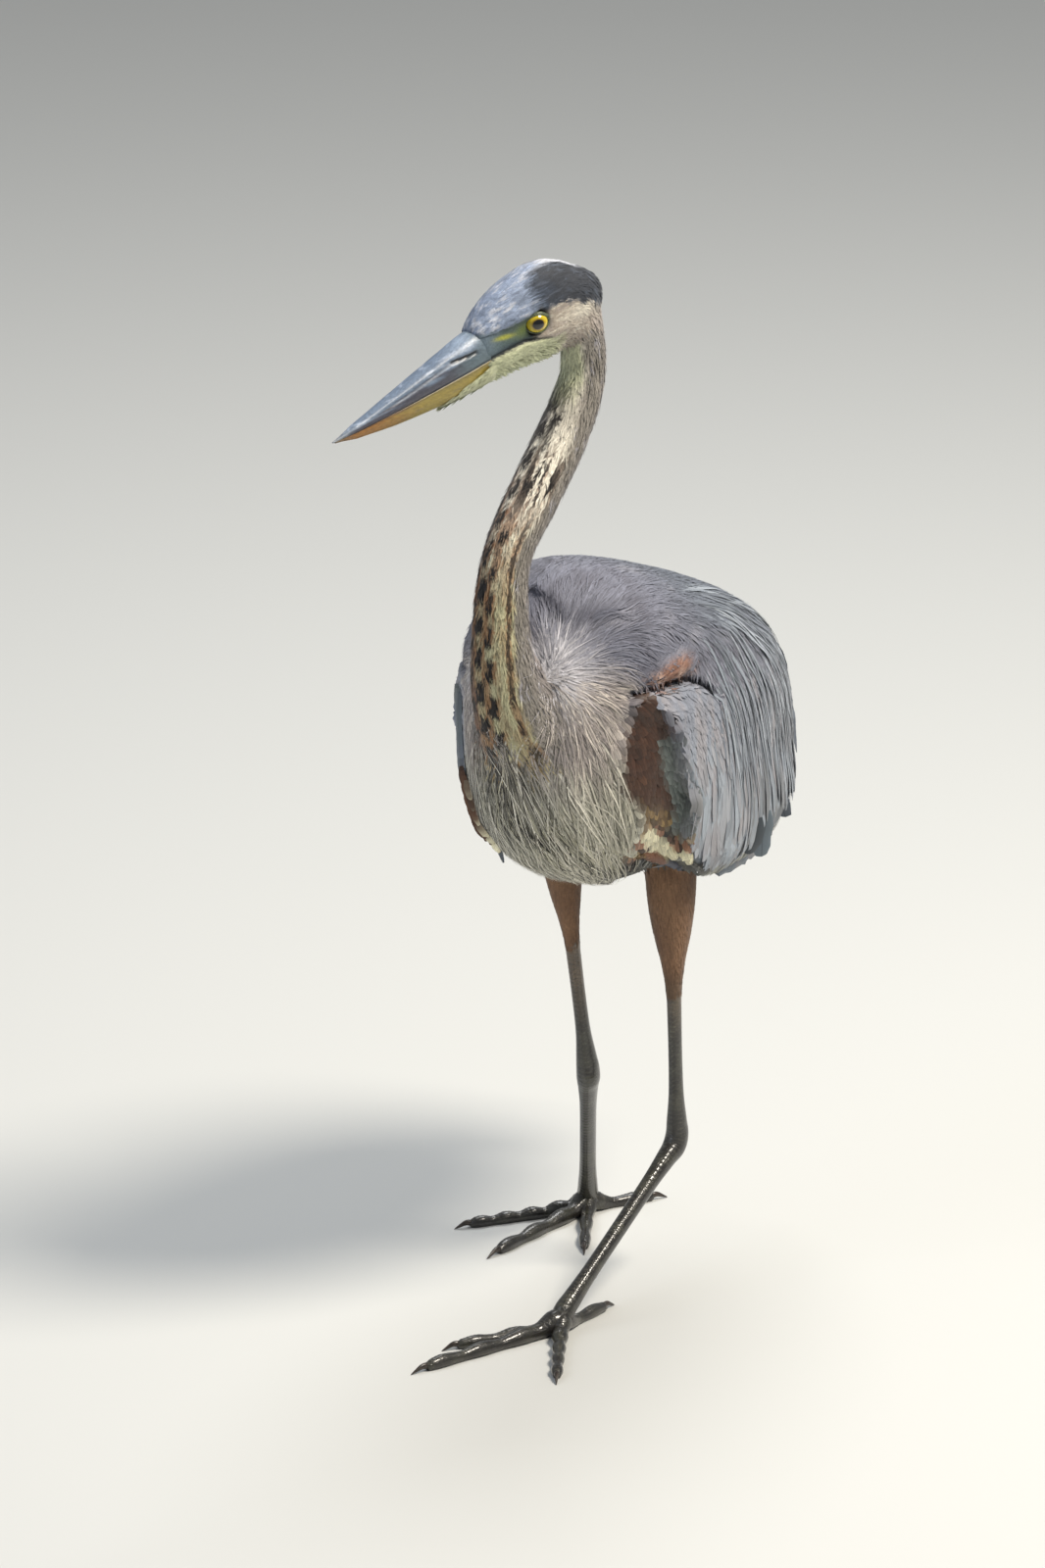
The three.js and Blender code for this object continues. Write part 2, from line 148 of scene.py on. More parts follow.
def makeObject(name, verts, faces, uvs=None, colours=None, smooth=True):
    mesh = bpy.data.meshes.new(name)
    verts = np.asarray(verts, float)
    mesh.from_pydata(verts.tolist(), [], faces)
    mesh.update()
    obj = bpy.data.objects.new(name, mesh)
    bpy.context.scene.collection.objects.link(obj)
    if smooth:
        mesh.polygons.foreach_set("use_smooth", np.ones(len(mesh.polygons), bool))
    loops = np.zeros(len(mesh.loops), np.int32)
    mesh.loops.foreach_get("vertex_index", loops)
    for label, uv in (uvs or {}).items():
        layer = mesh.uv_layers.new(name=label)
        layer.data.foreach_set("uv", np.asarray(uv, np.float32)[loops].ravel())
    for label, colour in (colours or {}).items():
        attribute = mesh.color_attributes.new(name=label, type="FLOAT_COLOR", domain="POINT")
        rgba = np.ones((len(verts), 4), np.float32)
        rgba[:, :3] = colour
        attribute.data.foreach_set("color", rgba.ravel())
    return obj


def vertsOf(obj):
    co = np.zeros(len(obj.data.vertices) * 3, np.float32)
    obj.data.vertices.foreach_get("co", co)
    return co.reshape(-1, 3).astype(float)


def applyModifier(obj, kind, **settings):
    deselectAll()
    bpy.context.view_layer.objects.active = obj
    obj.select_set(True)
    modifier = obj.modifiers.new(kind, kind)
    for key, value in settings.items():
        setattr(modifier, key, value)
    bpy.ops.object.modifier_apply(modifier=modifier.name)
    obj.select_set(False)


def joinedCopy(names, label):
    # merged copies of the solids, joined in one mesh
    bm = bmesh.new()
    for n in names:
        part = bmesh.new()
        part.from_mesh(frame["nodes"][n].data)
        bmesh.ops.remove_doubles(part, verts=part.verts, dist=1e-5)
        temp = bpy.data.meshes.new("temp")
        part.to_mesh(temp)
        part.free()
        bm.from_mesh(temp)
        bpy.data.meshes.remove(temp)
    mesh = bpy.data.meshes.new(label)
    bm.to_mesh(mesh)
    bm.free()
    obj = bpy.data.objects.new(label, mesh)
    bpy.context.scene.collection.objects.link(obj)
    return obj

# the bill: how far ahead, its middle, half width, and heights above and below the middle, in mm
billRows = np.array([[42, -7.6, 12.8, 16.0, 28.5], [50, -8, 12.1, 14.8, 27.6], [70, -9.8, 10.8, 12.7, 25],
                     [89.6, -11.2, 9.5, 10.6, 22], [129.2, -14, 7, 7.0, 14.7], [162.2, -16, 3.8, 3.8, 6.8],
                     [182, -16.8, 0.7, 0.8, 0.8]], float)


def smoothSection(f):
    t = np.interp(f, billRows[:, 0], np.linspace(0, 1, len(billRows)))
    return catmull(billRows, t)[..., 1:]


# the joints of the legs, and each toe's heading and length
legs = {
    "left": {"knee": (44, -30, 350), "ankle": (37, -3, 100), "foot": (20, -150, 12.5),
             "toes": {"middle": (-23, 121), "outer": (26, 92), "inner": (-37, 80), "hind": (172, 52)}},
    "right": {"knee": (-31, -64, 366), "ankle": (-28, -17, 146), "foot": (-78, 78, 12.5),
              "toes": {"middle": (-8, 110), "outer": (-40, 92), "inner": (26, 80), "hind": (144, 52)}}}

# the envelope of the whole bird, which the tips of the coat reach
formValues = {"voxel": 2.3, "rounding": 12, "flare": 8.5, "recess": 4.0}
sides = ("left", "right")
fleshNodes = ["head", "neck_upper", "neck_middle", "neck_lower", "trunk"]
wingNodes = [f"{n}_{s}" for n in ("scapulars", "wing_arm", "secondaries", "primaries") for s in sides]
otherNodes = [f"thigh_{s}" for s in sides] + ["tail"]
coatNodes = fleshNodes + wingNodes + otherNodes

form = joinedCopy(coatNodes, "form")
applyModifier(form, "REMESH", mode="VOXEL", voxel_size=formValues["voxel"] * mm)
applyModifier(form, "SMOOTH", factor=0.5, iterations=formValues["rounding"])

# the front edge of the folded wing's outer panel: height, then how far back it lies
panelEdge = np.array([[300, -30], [323, -43], [347, -75], [372, -80], [391, -80], [417, -96], [442, -103],
                      [472, -121], [482, -128]], float)


def behindPanelEdge(p):
    return p[..., 1] - np.interp(p[..., 2], panelEdge[:, 0], panelEdge[:, 1])


def creaseHeight(y):
    # the fold between the bend of the wing and the scapulars, arched and dipping behind
    return np.interp(y, [-142, -126, -104, -84, -66, -50], [474, 479, 479.5, 479, 471, 460])


chestnutEdge = np.array([[346, -34], [380, -40], [417, -43], [443, -38], [464, -21], [478, -8]], float)


def shapeWing(p, n):
    # lifts the outer panel of the folded wing off the flank, and folds it in under the bend of the wing
    y, z = p[:, 1], p[:, 2]
    flank = ease(36, 52, np.abs(p[:, 0])) * ease(470, 455, z) * ease(312, 345, z)
    behind = behindPanelEdge(p)
    move = formValues["flare"] * ease(-1.5, 1.5, behind) * np.exp(-np.maximum(behind, 0) / 42) * flank
    move = move - formValues["recess"] * ease(2, -2, behind) * np.exp(-((behind + 15) / 16) ** 2) * flank
    far = ease(0, -30, p[:, 0])
    move = move * (1 - 0.6 * far * ease(425, 462, z))
    along = ease(-142, -128, y) * ease(-38, -62, y) * ease(40, 56, np.abs(p[:, 0])) * (1 - 0.7 * far)
    move = move - 7.0 * np.exp(-((z - creaseHeight(y)) / 2.9) ** 2) * along
    bend = np.exp(-((y + 98) / 24) ** 2 - ((z - 490) / 8) ** 2) * ease(40, 56, np.abs(p[:, 0]))
    bend = bend + 0.8 * np.exp(-((y + 98) / 30) ** 2 - ((z - 466) / 10) ** 2) * ease(40, 56, np.abs(p[:, 0]))
    # behind, the coat stands out more, so the envelope lies a little deeper
    move = move - 2.6 * ease(-30, 15, y) * ease(46, 66, np.abs(p[:, 0])) * ease(505, 470, z)
    return p + (move + 4.0 * bend * ease(-10, 20, p[:, 0]))[:, None] * n


def shapeThigh(p):
    # narrows the end of the feathered thigh on to the bare shin
    for leg in legs.values():
        knee, ankle = np.array(leg["knee"], float), np.array(leg["ankle"], float)
        axis = knee - ankle
        t = (p - ankle) @ axis / (axis @ axis)
        out = p - ankle - t[:, None] * axis
        at = (np.linalg.norm(out, axis=1) < 26) & (t < 0.68) & (t > 0.3)
        p[at] -= out[at] * (0.22 * ease(0.66, 0.47, t[at]))[:, None]
    return p


def gapeLine(f):
    return np.interp(f, [-10, 14, 46, 96], [-22, -15.6, -16.2, -16.8])


def shapeHead(p):
    # sinks the lores and the sockets, lifts the brows and cheeks, and draws the gape
    d = p - headCentre
    f, s, u = d @ headAhead, d @ headLeft, d @ headUp
    out = ease(3, 9, np.abs(s))
    lore = np.exp(-(((u + 7.5) / 7.5) ** 2) ** 1.5) * ease(6, 14, f) * ease(46, 32, f) * out
    brow = np.exp(-((u - 4.5) / 3.6) ** 2) * np.exp(-((f - 8) / 15) ** 2) * out
    socket = np.exp(-(((f - 2) / 10.5) ** 2 + ((u + 6) / 9) ** 2) ** 2) * out
    cheek = np.exp(-(((f + 12) / 15) ** 2 + ((u + 20) / 8) ** 2)) * out
    gape = np.exp(-((u - gapeLine(f)) / 1.7) ** 2) * ease(-9, 2, f) * ease(60, 54, f) * out
    move = 1.7 * brow - 2.6 * lore - 1.6 * socket + 1.4 * cheek - 1.6 * gape
    # in front the skin sinks into the root of the bill
    tuck = 1 - 0.15 * ease(42, 62, f)
    p = p + ((tuck - 1) * s)[:, None] * headLeft + ((tuck - 1) * (u + 9))[:, None] * headUp
    crown = 3.2 * np.exp(-((f + 26) / 26) ** 2) * ease(8, 20, u)
    return p + (np.sign(s) * move)[:, None] * headLeft + crown[:, None] * headUp


bm = bmesh.new()
bm.from_mesh(form.data)
headRegion = [e for e in bm.edges if np.linalg.norm(bird(e.verts[0].co) - headCentre - 5 * headAhead) < 62]
bmesh.ops.subdivide_edges(bm, edges=headRegion, cuts=1, use_grid_fill=True, smooth=0.6)
bmesh.ops.triangulate(bm, faces=[f for f in bm.faces if len(f.verts) > 4])
bm.to_mesh(form.data)
bm.free()
formCo = vertsOf(form)
normals = np.zeros(len(formCo) * 3, np.float32)
form.data.vertices.foreach_get("normal", normals)
b = bird(formCo)
b = shapeWing(b, normals.reshape(-1, 3))
nearHead = np.linalg.norm(b - headCentre, axis=1) < 75
b[nearHead] = shapeHead(b[nearHead])
b = shapeThigh(b)
form.data.vertices.foreach_set("co", world(b).astype(np.float32).ravel())
form.data.update()
formTree = BVHTree.FromObject(form, bpy.context.evaluated_depsgraph_get())
faceCount = len(form.data.polygons)
faceCentre, faceNormal = np.zeros(faceCount * 3, np.float32), np.zeros(faceCount * 3, np.float32)
faceArea = np.zeros(faceCount, np.float32)
form.data.polygons.foreach_get("center", faceCentre)
form.data.polygons.foreach_get("normal", faceNormal)
form.data.polygons.foreach_get("area", faceArea)
faceCentre, faceNormal = faceCentre.reshape(-1, 3).astype(float), faceNormal.reshape(-1, 3).astype(float)

# which solid each face of the envelope came from
faceLabel, nearest = np.zeros(faceCount, int), np.full(faceCount, 1e9)
for k, n in enumerate(coatNodes):
    low, high = [np.array(c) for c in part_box(n)]
    inside = np.nonzero(np.all((faceCentre > low - 0.012) & (faceCentre < high + 0.012), axis=1))[0]
    bm = bmesh.new()
    bm.from_mesh(frame["nodes"][n].data)
    find = BVHTree.FromBMesh(bm).find_nearest
    bm.free()
    distance = np.array([find(c)[3] for c in faceCentre[inside].tolist()])
    closer = distance < nearest[inside]
    nearest[inside[closer]] = distance[closer]
    faceLabel[inside[closer]] = k
faceB = bird(faceCentre)
print("envelope", faceCount, "faces")


def labelled(*starts):
    return np.isin(faceLabel, [k for k, n in enumerate(coatNodes) if n.startswith(starts)])


def nearestOn(points):
    found = [formTree.find_nearest(p) for p in points.tolist()]
    return np.array([q[0] for q in found]), np.array([q[1] for q in found])


# the lie of the coat
neckFine = catmull(neckStations, np.linspace(0, 1, 160))
neckDown = unit(np.gradient(neckFine, axis=0)) * -1
whorl = np.array([27.0, -180.0, 500.0])    # where the feathers part at the foot of the neck, on each side


def neckPlace(p):
    # how far up the neck, 0 to 1, the way down it there, and its middle
    d = ((p[:, None, :] - neckFine[None, ::3, :]) ** 2).sum(-1)
    k = d.argmin(1) * 3
    return k / 159, neckDown[k], neckFine[k]


def headFlow(p, n):
    d = p - headCentre
    f, u = d @ headAhead, d @ headUp
    fall = ease(-22, -62, f)
    droop = ease(2, -20, u) * 0.35 + ease(-20, -34, u) * 0.5
    return unit(-headAhead[None, :] * (1 - 0.7 * fall)[:, None] - headUp[None, :]
                * (fall * 0.9 + droop)[:, None])


def neckFlow(p, n):
    return neckPlace(p)[1]


def bodyFlow(p, n):
    nz, y, z, x = n[:, 2], p[:, 1], p[:, 2], np.abs(p[:, 0])
    pitch = 22 + 36 * ease(0.85, 0.15, nz) - 20 * ease(-0.3, -0.9, nz)
    pitch = pitch + 22 * ease(-60, -170, y) * ease(0.7, 0.1, nz)
    # on the folded wing the feathers hang, nearly straight down towards its lower edge
    soft = 4 + 26 * ease(478, 500, z)
    hang = ease(34, 50, x) * ease(-soft, soft, behindPanelEdge(p)) * ease(0.55, 0.25, nz)
    pitch = pitch + (66 + 20 * ease(455, 405, z) - pitch) * hang
    a = np.radians(pitch)
    v = np.stack([np.zeros_like(a), np.cos(a), -np.sin(a)], -1)
    centre = whorl * np.where(p[:, 0:1] > 0, 1, [-1, 1, 1])
    away = p - centre
    distance = np.linalg.norm(away, axis=1)
    w = ease(130, 25, distance) * ease(-45, -85, y) * (1 - hang)
    # above the parting the coat first runs up and over the shoulder
    up = w * ease(-10, 40, away[:, 2])
    v = v + np.stack([np.zeros_like(a), 0.5 * up, 0.9 * up], -1)
    return unit(unit(v) * (1 - w)[:, None] + unit(away) * (w * 1.2)[:, None])


def drapeFlow(p, n):
    # long plumes of the back, which draw together over the root of the tail
    v = bodyFlow(p, n)
    w = ease(20, 110, p[:, 1])[:, None] * 0.75
    towards = unit(np.array([0.0, 205.0, 290.0]) - p)
    return unit(v * (1 - w) + towards * w)


def breastFlow(p, n):
    # the loose breast plumes hang down and draw together between the thighs
    w = ease(470, 410, p[:, 2])[:, None]
    return unit(bodyFlow(p, n) * (1 - w) + unit(np.array([14.0, -70.0, 318.0]) - p) * w)


def thighFlow(p, n):
    return np.tile(unit([0.0, 0.10, -1.0]), (len(p), 1))


def tailFlow(p, n):
    return np.tile(unit([0.0, 0.35, -0.95]), (len(p), 1))


flows = {"head": headFlow, "neck": neckFlow, "body": bodyFlow, "thigh": thighFlow, "tail": tailFlow}

# the markings, one set for skin and coat
plumage = {"mantle": "6f717e", "mantleDark": "5d5d68", "mantlePale": "9a99a2", "whorlPale": "cac8cd",
           "back": "5d636e", "coverts": "848995", "panel": "8d96a1", "panelPale": "adb5be",
           "panelDark": "656c76", "scapular": "7f8791", "secondary": "6d7177", "primary": "333c44",
           "primaryPale": "56616a", "tail": "59606a", "underwingGrey": "666d6a", "neckBack": "8c8583",
           "neckSide": "7d7871", "neckWhite": "d8d3c5", "neckBlack": "1f1b1a", "neckCream": "b3ae8c",
           "neckRufous": "875a38", "fan": "98908c", "fanPale": "cbc2b8", "breastWhite": "b9b6a6",
           "breastDark": "55534a", "bellyBlack": "23211f", "forehead": "8592a9", "foreheadDark": "4a5566",
           "crownPale": "c4c7cf", "crownDark": "151c27", "cheek": "a0968a", "chin": "b8bc9b",
           "thigh": "6f523d", "thighPale": "89684c", "rufous": "8b6450", "rufousPale": "bb9c8c",
           "chestnut": "3d261a", "chestnutEdge": "62432e", "tan": "a58a58", "carpal": "d9d3b4",
           "panelWarm": "9a969a", "vent": "8e908c", "chestnutDark": "3c281d", "shinBrown": "5b4b3b",
           "lore": "53625f", "loreDark": "38444a", "loreGreen": "5d6b36", "loreYellow": "a9ab45",
           "gapeFoldShade": "23272a"}
tone = {k: hexColour(v) for k, v in plumage.items()}
billHex = {"culmen": "68778b", "culmenPale": "909db0", "slate": "43444f", "base": "55646d", "tip": "7c8289",
           "nostril": "14161a", "join": "62717c", "joinPale": "8494a8", "orange": "8d6229",
           "yellow": "8f7f3a", "rim": "b3a572", "lowTip": "776a56"}
billTone = {k: hexColour(v) for k, v in billHex.items()}


def even(key, p):
    return np.tile(tone[key], (len(p), 1))


def blend(a, b, w):
    w = np.asarray(w, float)[..., None]
    return a * (1 - w) + (b if np.ndim(b) == 2 else np.asarray(b)) * w


def joinColour(u):
    # where the lores run on into the horn, darker below
    return billTone["base"] + (billTone["join"] - billTone["base"]) * ease(-14, -3,
                                                                           np.asarray(u, float))[..., None]


def headColour(p, n, lane):
    d = p - headCentre
    f, s, u = d @ headAhead, np.abs(d @ headLeft), d @ headUp
    v = noise3(p / 4.0) - 0.5 + (lane - 0.5) * 0.35
    streak = noise3(np.stack([f / 11, s / 1.6, u / 1.6], -1), 9) - 0.5
    low = np.interp(f, [-66, -56, -44, -32, -16, 0, 14], [-22, -16, -11, -6, -1, 2.5, 4])
    c = even("cheek", p)
    c = blend(c, tone["neckBack"], ease(-30, -70, f) * 0.8)
    c = blend(c, tone["fan"], ease(0.05, 0.3, streak) * 0.55)
    c = blend(c, tone["neckWhite"], np.exp(-(((f + 36) / 15) ** 2 + ((u + 13) / 6) ** 2)) * 0.8)
    c = blend(c, tone["neckWhite"], ease(0.12, 0.32, -streak) * 0.45)
    # blue-grey forehead, and the pale line down the crown
    top = np.maximum(ease(-1, 3, u - low + v * 5), ease(-4, 5, f + v * 8) * ease(-1, 3, u))
    fore = blend(even("forehead", p), tone["crownPale"], ease(0.05, 0.35, streak) * 0.8)
    fore = blend(fore, tone["foreheadDark"], ease(0.1, 0.4, -streak) * 0.5 + ease(7, 2, u) * ease(2, 12, f)
                 * 0.5)
    c = blend(c, blend(fore, tone["crownPale"], ease(-2, -22, f + v * 14)), top)
    dark = ease(-2, 3, u - low + v * 7) * ease(18, -6, f + (13 - np.minimum(s, 13)) * 2.6 + v * 14)
    dark = dark * np.maximum(ease(3, 6, s + v * 2), ease(-44, -54, f + v * 5)) * ease(-76, -66, f + v * 6)
    crown = blend(even("crownDark", p), tone["foreheadDark"], ease(0.05, 0.4, streak) * 0.5)
    crown = blend(crown, tone["foreheadDark"], ease(-16, 6, f + v * 14) * 0.7)
    c = blend(c, crown, dark * 0.96)
    # throat and malar feathers under the gape, in a pale tone tinted green and darkened part way: partly
    # their own cream, partly painted green reflection and shade
    below = ease(1, -1.5, u - gapeLine(f)) * ease(-24, -6, f + v * 8)
    c = blend(c, tone["chin"], below)
    bare = ease(3, 9, f) * ease(3.4, 1.4, u + v) * ease(-1, 0.6, u - gapeLine(f)) * (s > 4)
    c = blend(c, tone["lore"], bare)
    c = blend(c, tone["loreDark"], bare * ease(-9, -14, u))
    c = blend(c, tone["loreGreen"], bare * np.exp(-(((f - 13) / 7) ** 2 + ((u + 7) / 5) ** 2)) * 0.9)
    c = blend(c, joinColour(u), bare * ease(26, 42, f + 6 * v))
    spot = np.exp(-(((f - 29) / 8.5) ** 2 + ((u + 5.6 - 0.2 * (f - 29)) / 1.9) ** 2) ** 1.5)
    c = blend(c, tone["loreYellow"], bare * spot * 0.9)
    # painted shade: a dark line along the fold of the gape
    gape = np.exp(-((u - gapeLine(f)) / 0.9) ** 2) * ease(-12, 0, f) * (s > 4)
    return blend(c, tone["gapeFoldShade"], gape * 0.9)


def neckAngle(p):
    # degrees round the neck: 0 down its front, positive to the bird's left, 180 the hind neck
    t, down, centre = neckPlace(p)
    out = p - centre
    out = unit(out - (out * down).sum(1)[:, None] * down)
    ahead = np.tile([0.0, -1.0, 0.0], (len(p), 1))
    ahead = unit(ahead - (ahead * down).sum(1)[:, None] * down)
    left = unit(np.cross(ahead, down))
    left = left * np.sign(left[:, 0:1] + 1e-9)
    return t, np.degrees(np.arctan2((out * left).sum(1), (out * ahead).sum(1)))


def neckColour(p, n, lane):
    t, angle = neckAngle(p)
    angle = angle - 9
    v = noise3(p / 6.0, 3) - 0.5
    c = blend(even("neckSide", p), tone["neckBack"], ease(60, 130, np.abs(angle)))
    c = c * (0.80 + 0.42 * noise3(p / np.array([3, 3, 16.0]), 8))[:, None]
    c = blend(c, tone["mantlePale"], ease(0.25, 0.4, noise3(p / np.array([2.2, 2.2, 9.0]), 31) - 0.5) * 0.7)
    half = 46 - 22 * ease(0.62, 0.86, t)
    front = ease(half + 6, half - 6, np.abs(angle) + v * 14)
    ground = blend(even("neckWhite", p), tone["neckCream"], ease(0.62, 0.4, t))
    ground = blend(ground, tone["neckRufous"], ease(0.0, 0.3,
                                                    noise3(np.stack([angle / 11, t * 30, t * 0], -1), 6)
                                                    - 0.5) * ease(0.6, 0.45, t) * 0.35)
    ground = blend(ground, tone["neckSide"], ease(0.70, 0.78, t) * 0.55)
    c = blend(c, ground, front)
    along = t * 18
    show = ease(0.10, 0.16, t) * ease(0.93, 0.86, t)
    columns = ((-58, 10.5, 0.66, 0.95), (-33, 13.5, 0.72, 1.0), (-7, 11.0, 0.66, 1.0),
               (15, 4.0, 0.45, 0.35), (35, 5.5, 0.92, 0.85))
    for k, (column, thin, long, strength) in enumerate(columns):
        wobble = noise3(np.stack([along / 1.7, along * 0 + k * 3, along * 0], -1), 5) - 0.5
        place = along + 0.41 * k + 0.04 * lane + 0.3 * wobble
        phase = place % 1
        # each mark slants a little outwards up the neck
        near = np.abs(angle - column - 7 * wobble - 13 * (phase - 0.35) * (k < 3))
        strength = strength * (ease(0.66, 0.60, t) if k == 4 else 1)
        each = noise3(np.stack([np.floor(place) * 5.3 + k * 7, place * 0, place * 0], -1), 7)
        size = thin * (0.55 + 0.75 * each)
        dash = ease(0.0, 0.10, phase) * ease(long + 0.08, long - 0.06, phase)
        narrow = 1 - 0.5 * np.abs(phase - long * 0.45) / long * 2
        rim = ease(size * 1.7, size * 1.15, near) * ease(long + 0.25, long + 0.1, phase) * ease(-0.05, 0.05,
                                                                                                phase)
        c = blend(c, tone["neckRufous"], rim * show * strength * 0.7 * ease(0.68, 0.58, t))
        c = blend(c, tone["neckBlack"], ease(size * narrow + 1.2, size * narrow - 0.6, near) * dash * show
                  * strength)
    # bolder white and black streaks where the neck turns, and dark ones under the throat
    turn = np.exp(-(((t - 0.635) / 0.06) ** 2) ** 1.5) * ease(-26, -12, angle) * ease(60, 46, angle)
    streak = noise3(np.stack([angle / 6.0, t * 15, t * 0], -1), 14)
    c = blend(c, tone["neckWhite"], turn * 0.9)
    c = blend(c, tone["neckRufous"], turn * ease(0.48, 0.54, streak) * 0.6)
    c = blend(c, tone["neckBlack"], turn * ease(0.51, 0.57, streak))
    high = ease(0.66, 0.72, t) * ease(0.90, 0.84, t) * ease(-80, -58, angle) * ease(4, -14, angle)
    c = blend(c, tone["neckBlack"], high * ease(0.34, 0.44,
                                                noise3(np.stack([angle / 8, t * 22, t * 0], -1), 15)) * 0.9)
    # the throat in the same pale chin tone: partly its own cream, partly painted green reflection and shade
    throat = ease(0.76, 0.90, t) * ease(26, 8, angle) * ease(-110, -80, angle)
    return blend(c, tone["chin"], throat * 0.85)


def blackBelly(p):
    # the black patches on each side of the belly in front of the thighs
    x = np.abs(p[:, 0])
    patch = ease(354, 346, p[:, 2] + 0.15 * (p[:, 1] + 120)) * ease(20, 27, x) * ease(56, 48, x)
    return patch * ease(-142, -128, p[:, 1]) * ease(-60, -75, p[:, 1])


sweepLine = {"middle": 8.5, "swing": 28.5, "height": 405, "length": 28}


def breastSweep(p):
    # dark streaks that run on from the foot of the neck, slanting over the breast to the left thigh
    rise = (p[:, 2] - sweepLine["height"]) / sweepLine["length"]
    across = p[:, 0] - sweepLine["middle"] + sweepLine["swing"] * np.tanh(rise)
    broken = noise3(np.stack([across / 3.6, p[:, 2] / 30.0, p[:, 2] * 0], -1), 17)
    reach = ease(336, 346, p[:, 2]) * ease(480, 455, p[:, 2]) * ease(-95, -112, p[:, 1])
    return ease(14, 9, np.abs(across)) * ease(0.42, 0.50, broken) * reach, ease(28, 14,
                                                                                np.abs(across - 6)) * reach


def bodyColour(p, n, lane):
    nz, y, z, x = n[:, 2], p[:, 1], p[:, 2], np.abs(p[:, 0])
    v = noise3(p / 13.0, 6) - 0.5
    c = blend(even("mantle", p), tone["mantleDark"], ease(0.0, 0.5, v))
    c = blend(c, tone["mantlePale"], ease(0.15, 0.45, -v) * 0.5)
    c = blend(c, tone["back"], ease(-110, -20, y) * ease(0.2, 0.6, nz))
    centre = whorl * np.where(p[:, 0:1] > 0, 1, [-1, 1, 1])
    parting = np.linalg.norm((p - centre) * [1, 1, 1.2], axis=1)
    # the warm fan below the parting, then the pale breast and belly
    fanSide = ease(508, 486, z + 0.10 * (y + 180)) * ease(-128, -146, y + 12 * v)
    c = blend(c, tone["fan"], fanSide)
    c = blend(c, tone["fanPale"], fanSide * (lane < 0.3) * 0.8)
    c = blend(c, tone["whorlPale"], ease(38, 4, parting) * (0.5 + 0.5 * (lane > 0.5)))
    low = ease(452, 408, z + 14 * v) * ease(-90, -128, y)
    c = blend(c, tone["breastWhite"], low)
    c = blend(c, tone["breastDark"], low * (0.35 * (lane > 0.5) + 0.4 * (lane > 0.8)))
    dark, pale = breastSweep(p)
    c = blend(c, tone["neckCream"], pale * 0.3 * (lane < 0.5))
    c = blend(c, tone["bellyBlack"], dark * 0.9)
    belly = ease(-0.35, -0.6, nz) * ease(420, 390, z) * ease(-40, -80, y)
    c = blend(c, tone["breastWhite"], belly)
    c = blend(c, tone["bellyBlack"], belly * ease(10, 18, np.abs(x - 22)) * ease(52, 42, x)
              * ease(-135, -115, y) * 0.9)
    c = blend(c, tone["bellyBlack"], blackBelly(p) * 0.9)
    c = blend(c, tone["vent"], ease(-0.2, -0.6, nz) * ease(370, 345, z) * ease(-85, -50, y))
    # the wing
    behind = behindPanelEdge(p)
    flank = ease(36, 50, x)
    under = z < creaseHeight(y)
    wing = flank * under * ease(-2.5, 0.5, behind)
    panel = blend(even("coverts", p), tone["panel"], ease(452, 405, z + 16 * v))
    panel = blend(panel, tone["panelWarm"], ease(-0.1, 0.3, noise3(p / np.array([9, 5, 30.0]), 12) - 0.5)
                  * 0.7)
    panel = blend(panel, tone["secondary"], ease(50, 110, y) * ease(420, 360, z))
    c = blend(c, panel, wing)
    front = np.interp(z, chestnutEdge[:, 0], chestnutEdge[:, 1])
    face = flank * under * ease(0.5, -2.0, behind) * ease(-4, 3, behind - front + 5 * v) * ease(340, 352, z)
    chestnut = blend(even("chestnut", p), tone["chestnutEdge"], ease(0.1, 0.4, v) * 0.4)
    chestnut = blend(chestnut, tone["chestnutDark"], (lane > 0.6) * 0.6)
    chestnut = blend(chestnut, tone["tan"], ease(398, 376, z + 0.4 * (y + 100) + 8 * v)
                     * (0.3 + 0.5 * (lane < 0.5)))
    grey = ease(-15, -9, behind + 3 * v) * ease(452, 444, z) * ease(362, 374, z)
    chestnut = blend(chestnut, tone["underwingGrey"], grey)
    # the far wing is held further forward, so its grey coverts reach on to the wrist
    near = ease(-6, 6, p[:, 0])
    chestnut = blend(chestnut, panel, 0.95 * (1 - near))
    c = blend(c, chestnut, face)
    # a slanting cream bar at the wrist, edged with rufous scallops
    along = (y + 94) * 0.795 - (z - 360) * 0.606
    off = (y + 94) * 0.606 + (z - 360) * 0.795
    onBar = near * flank * ease(3, 0, behind) * ease(30, 25, np.abs(along))
    c = blend(c, blend(even("rufous", p), tone["chestnut"], lane > 0.5),
              onBar * ease(-13, -11, off) * ease(12, 10, off) * 0.9)
    c = blend(c, tone["carpal"], onBar * ease(-6.5, -4.5, off + 2 * v) * ease(7, 5, off + 2 * v))
    dark = near * np.exp(-(((along + 2) / 7) ** 2 + ((off - 9) / 4) ** 2) ** 2) * flank
    c = blend(c, tone["bellyBlack"], dark * 0.85)
    # the bare-looking rufous bend over the fold
    place = ((y + 103) * 0.97 + (z - 487) * 0.22, (z - 487) * 0.97 - (y + 103) * 0.22)
    bend = np.exp(-((place[0] / 23) ** 2 + (place[1] / 7.5) ** 2) ** 2) * flank * (z > creaseHeight(y) + 3.5)
    skinTone = blend(even("rufous", p), tone["rufousPale"], ease(0.0, 0.35, noise3(p / 5.0, 21) - 0.45))
    c = blend(c, skinTone, np.minimum(bend * 1.2, 1) * 0.9)
    # painted shade: a near-black line along the fold between the bend of the wing and the scapulars
    crease = np.exp(-((z - creaseHeight(y)) / 2.3) ** 2) * ease(-138, -128, y) * ease(-54, -66, y) * flank
    return blend(c, tone["bellyBlack"], crease * 0.85)


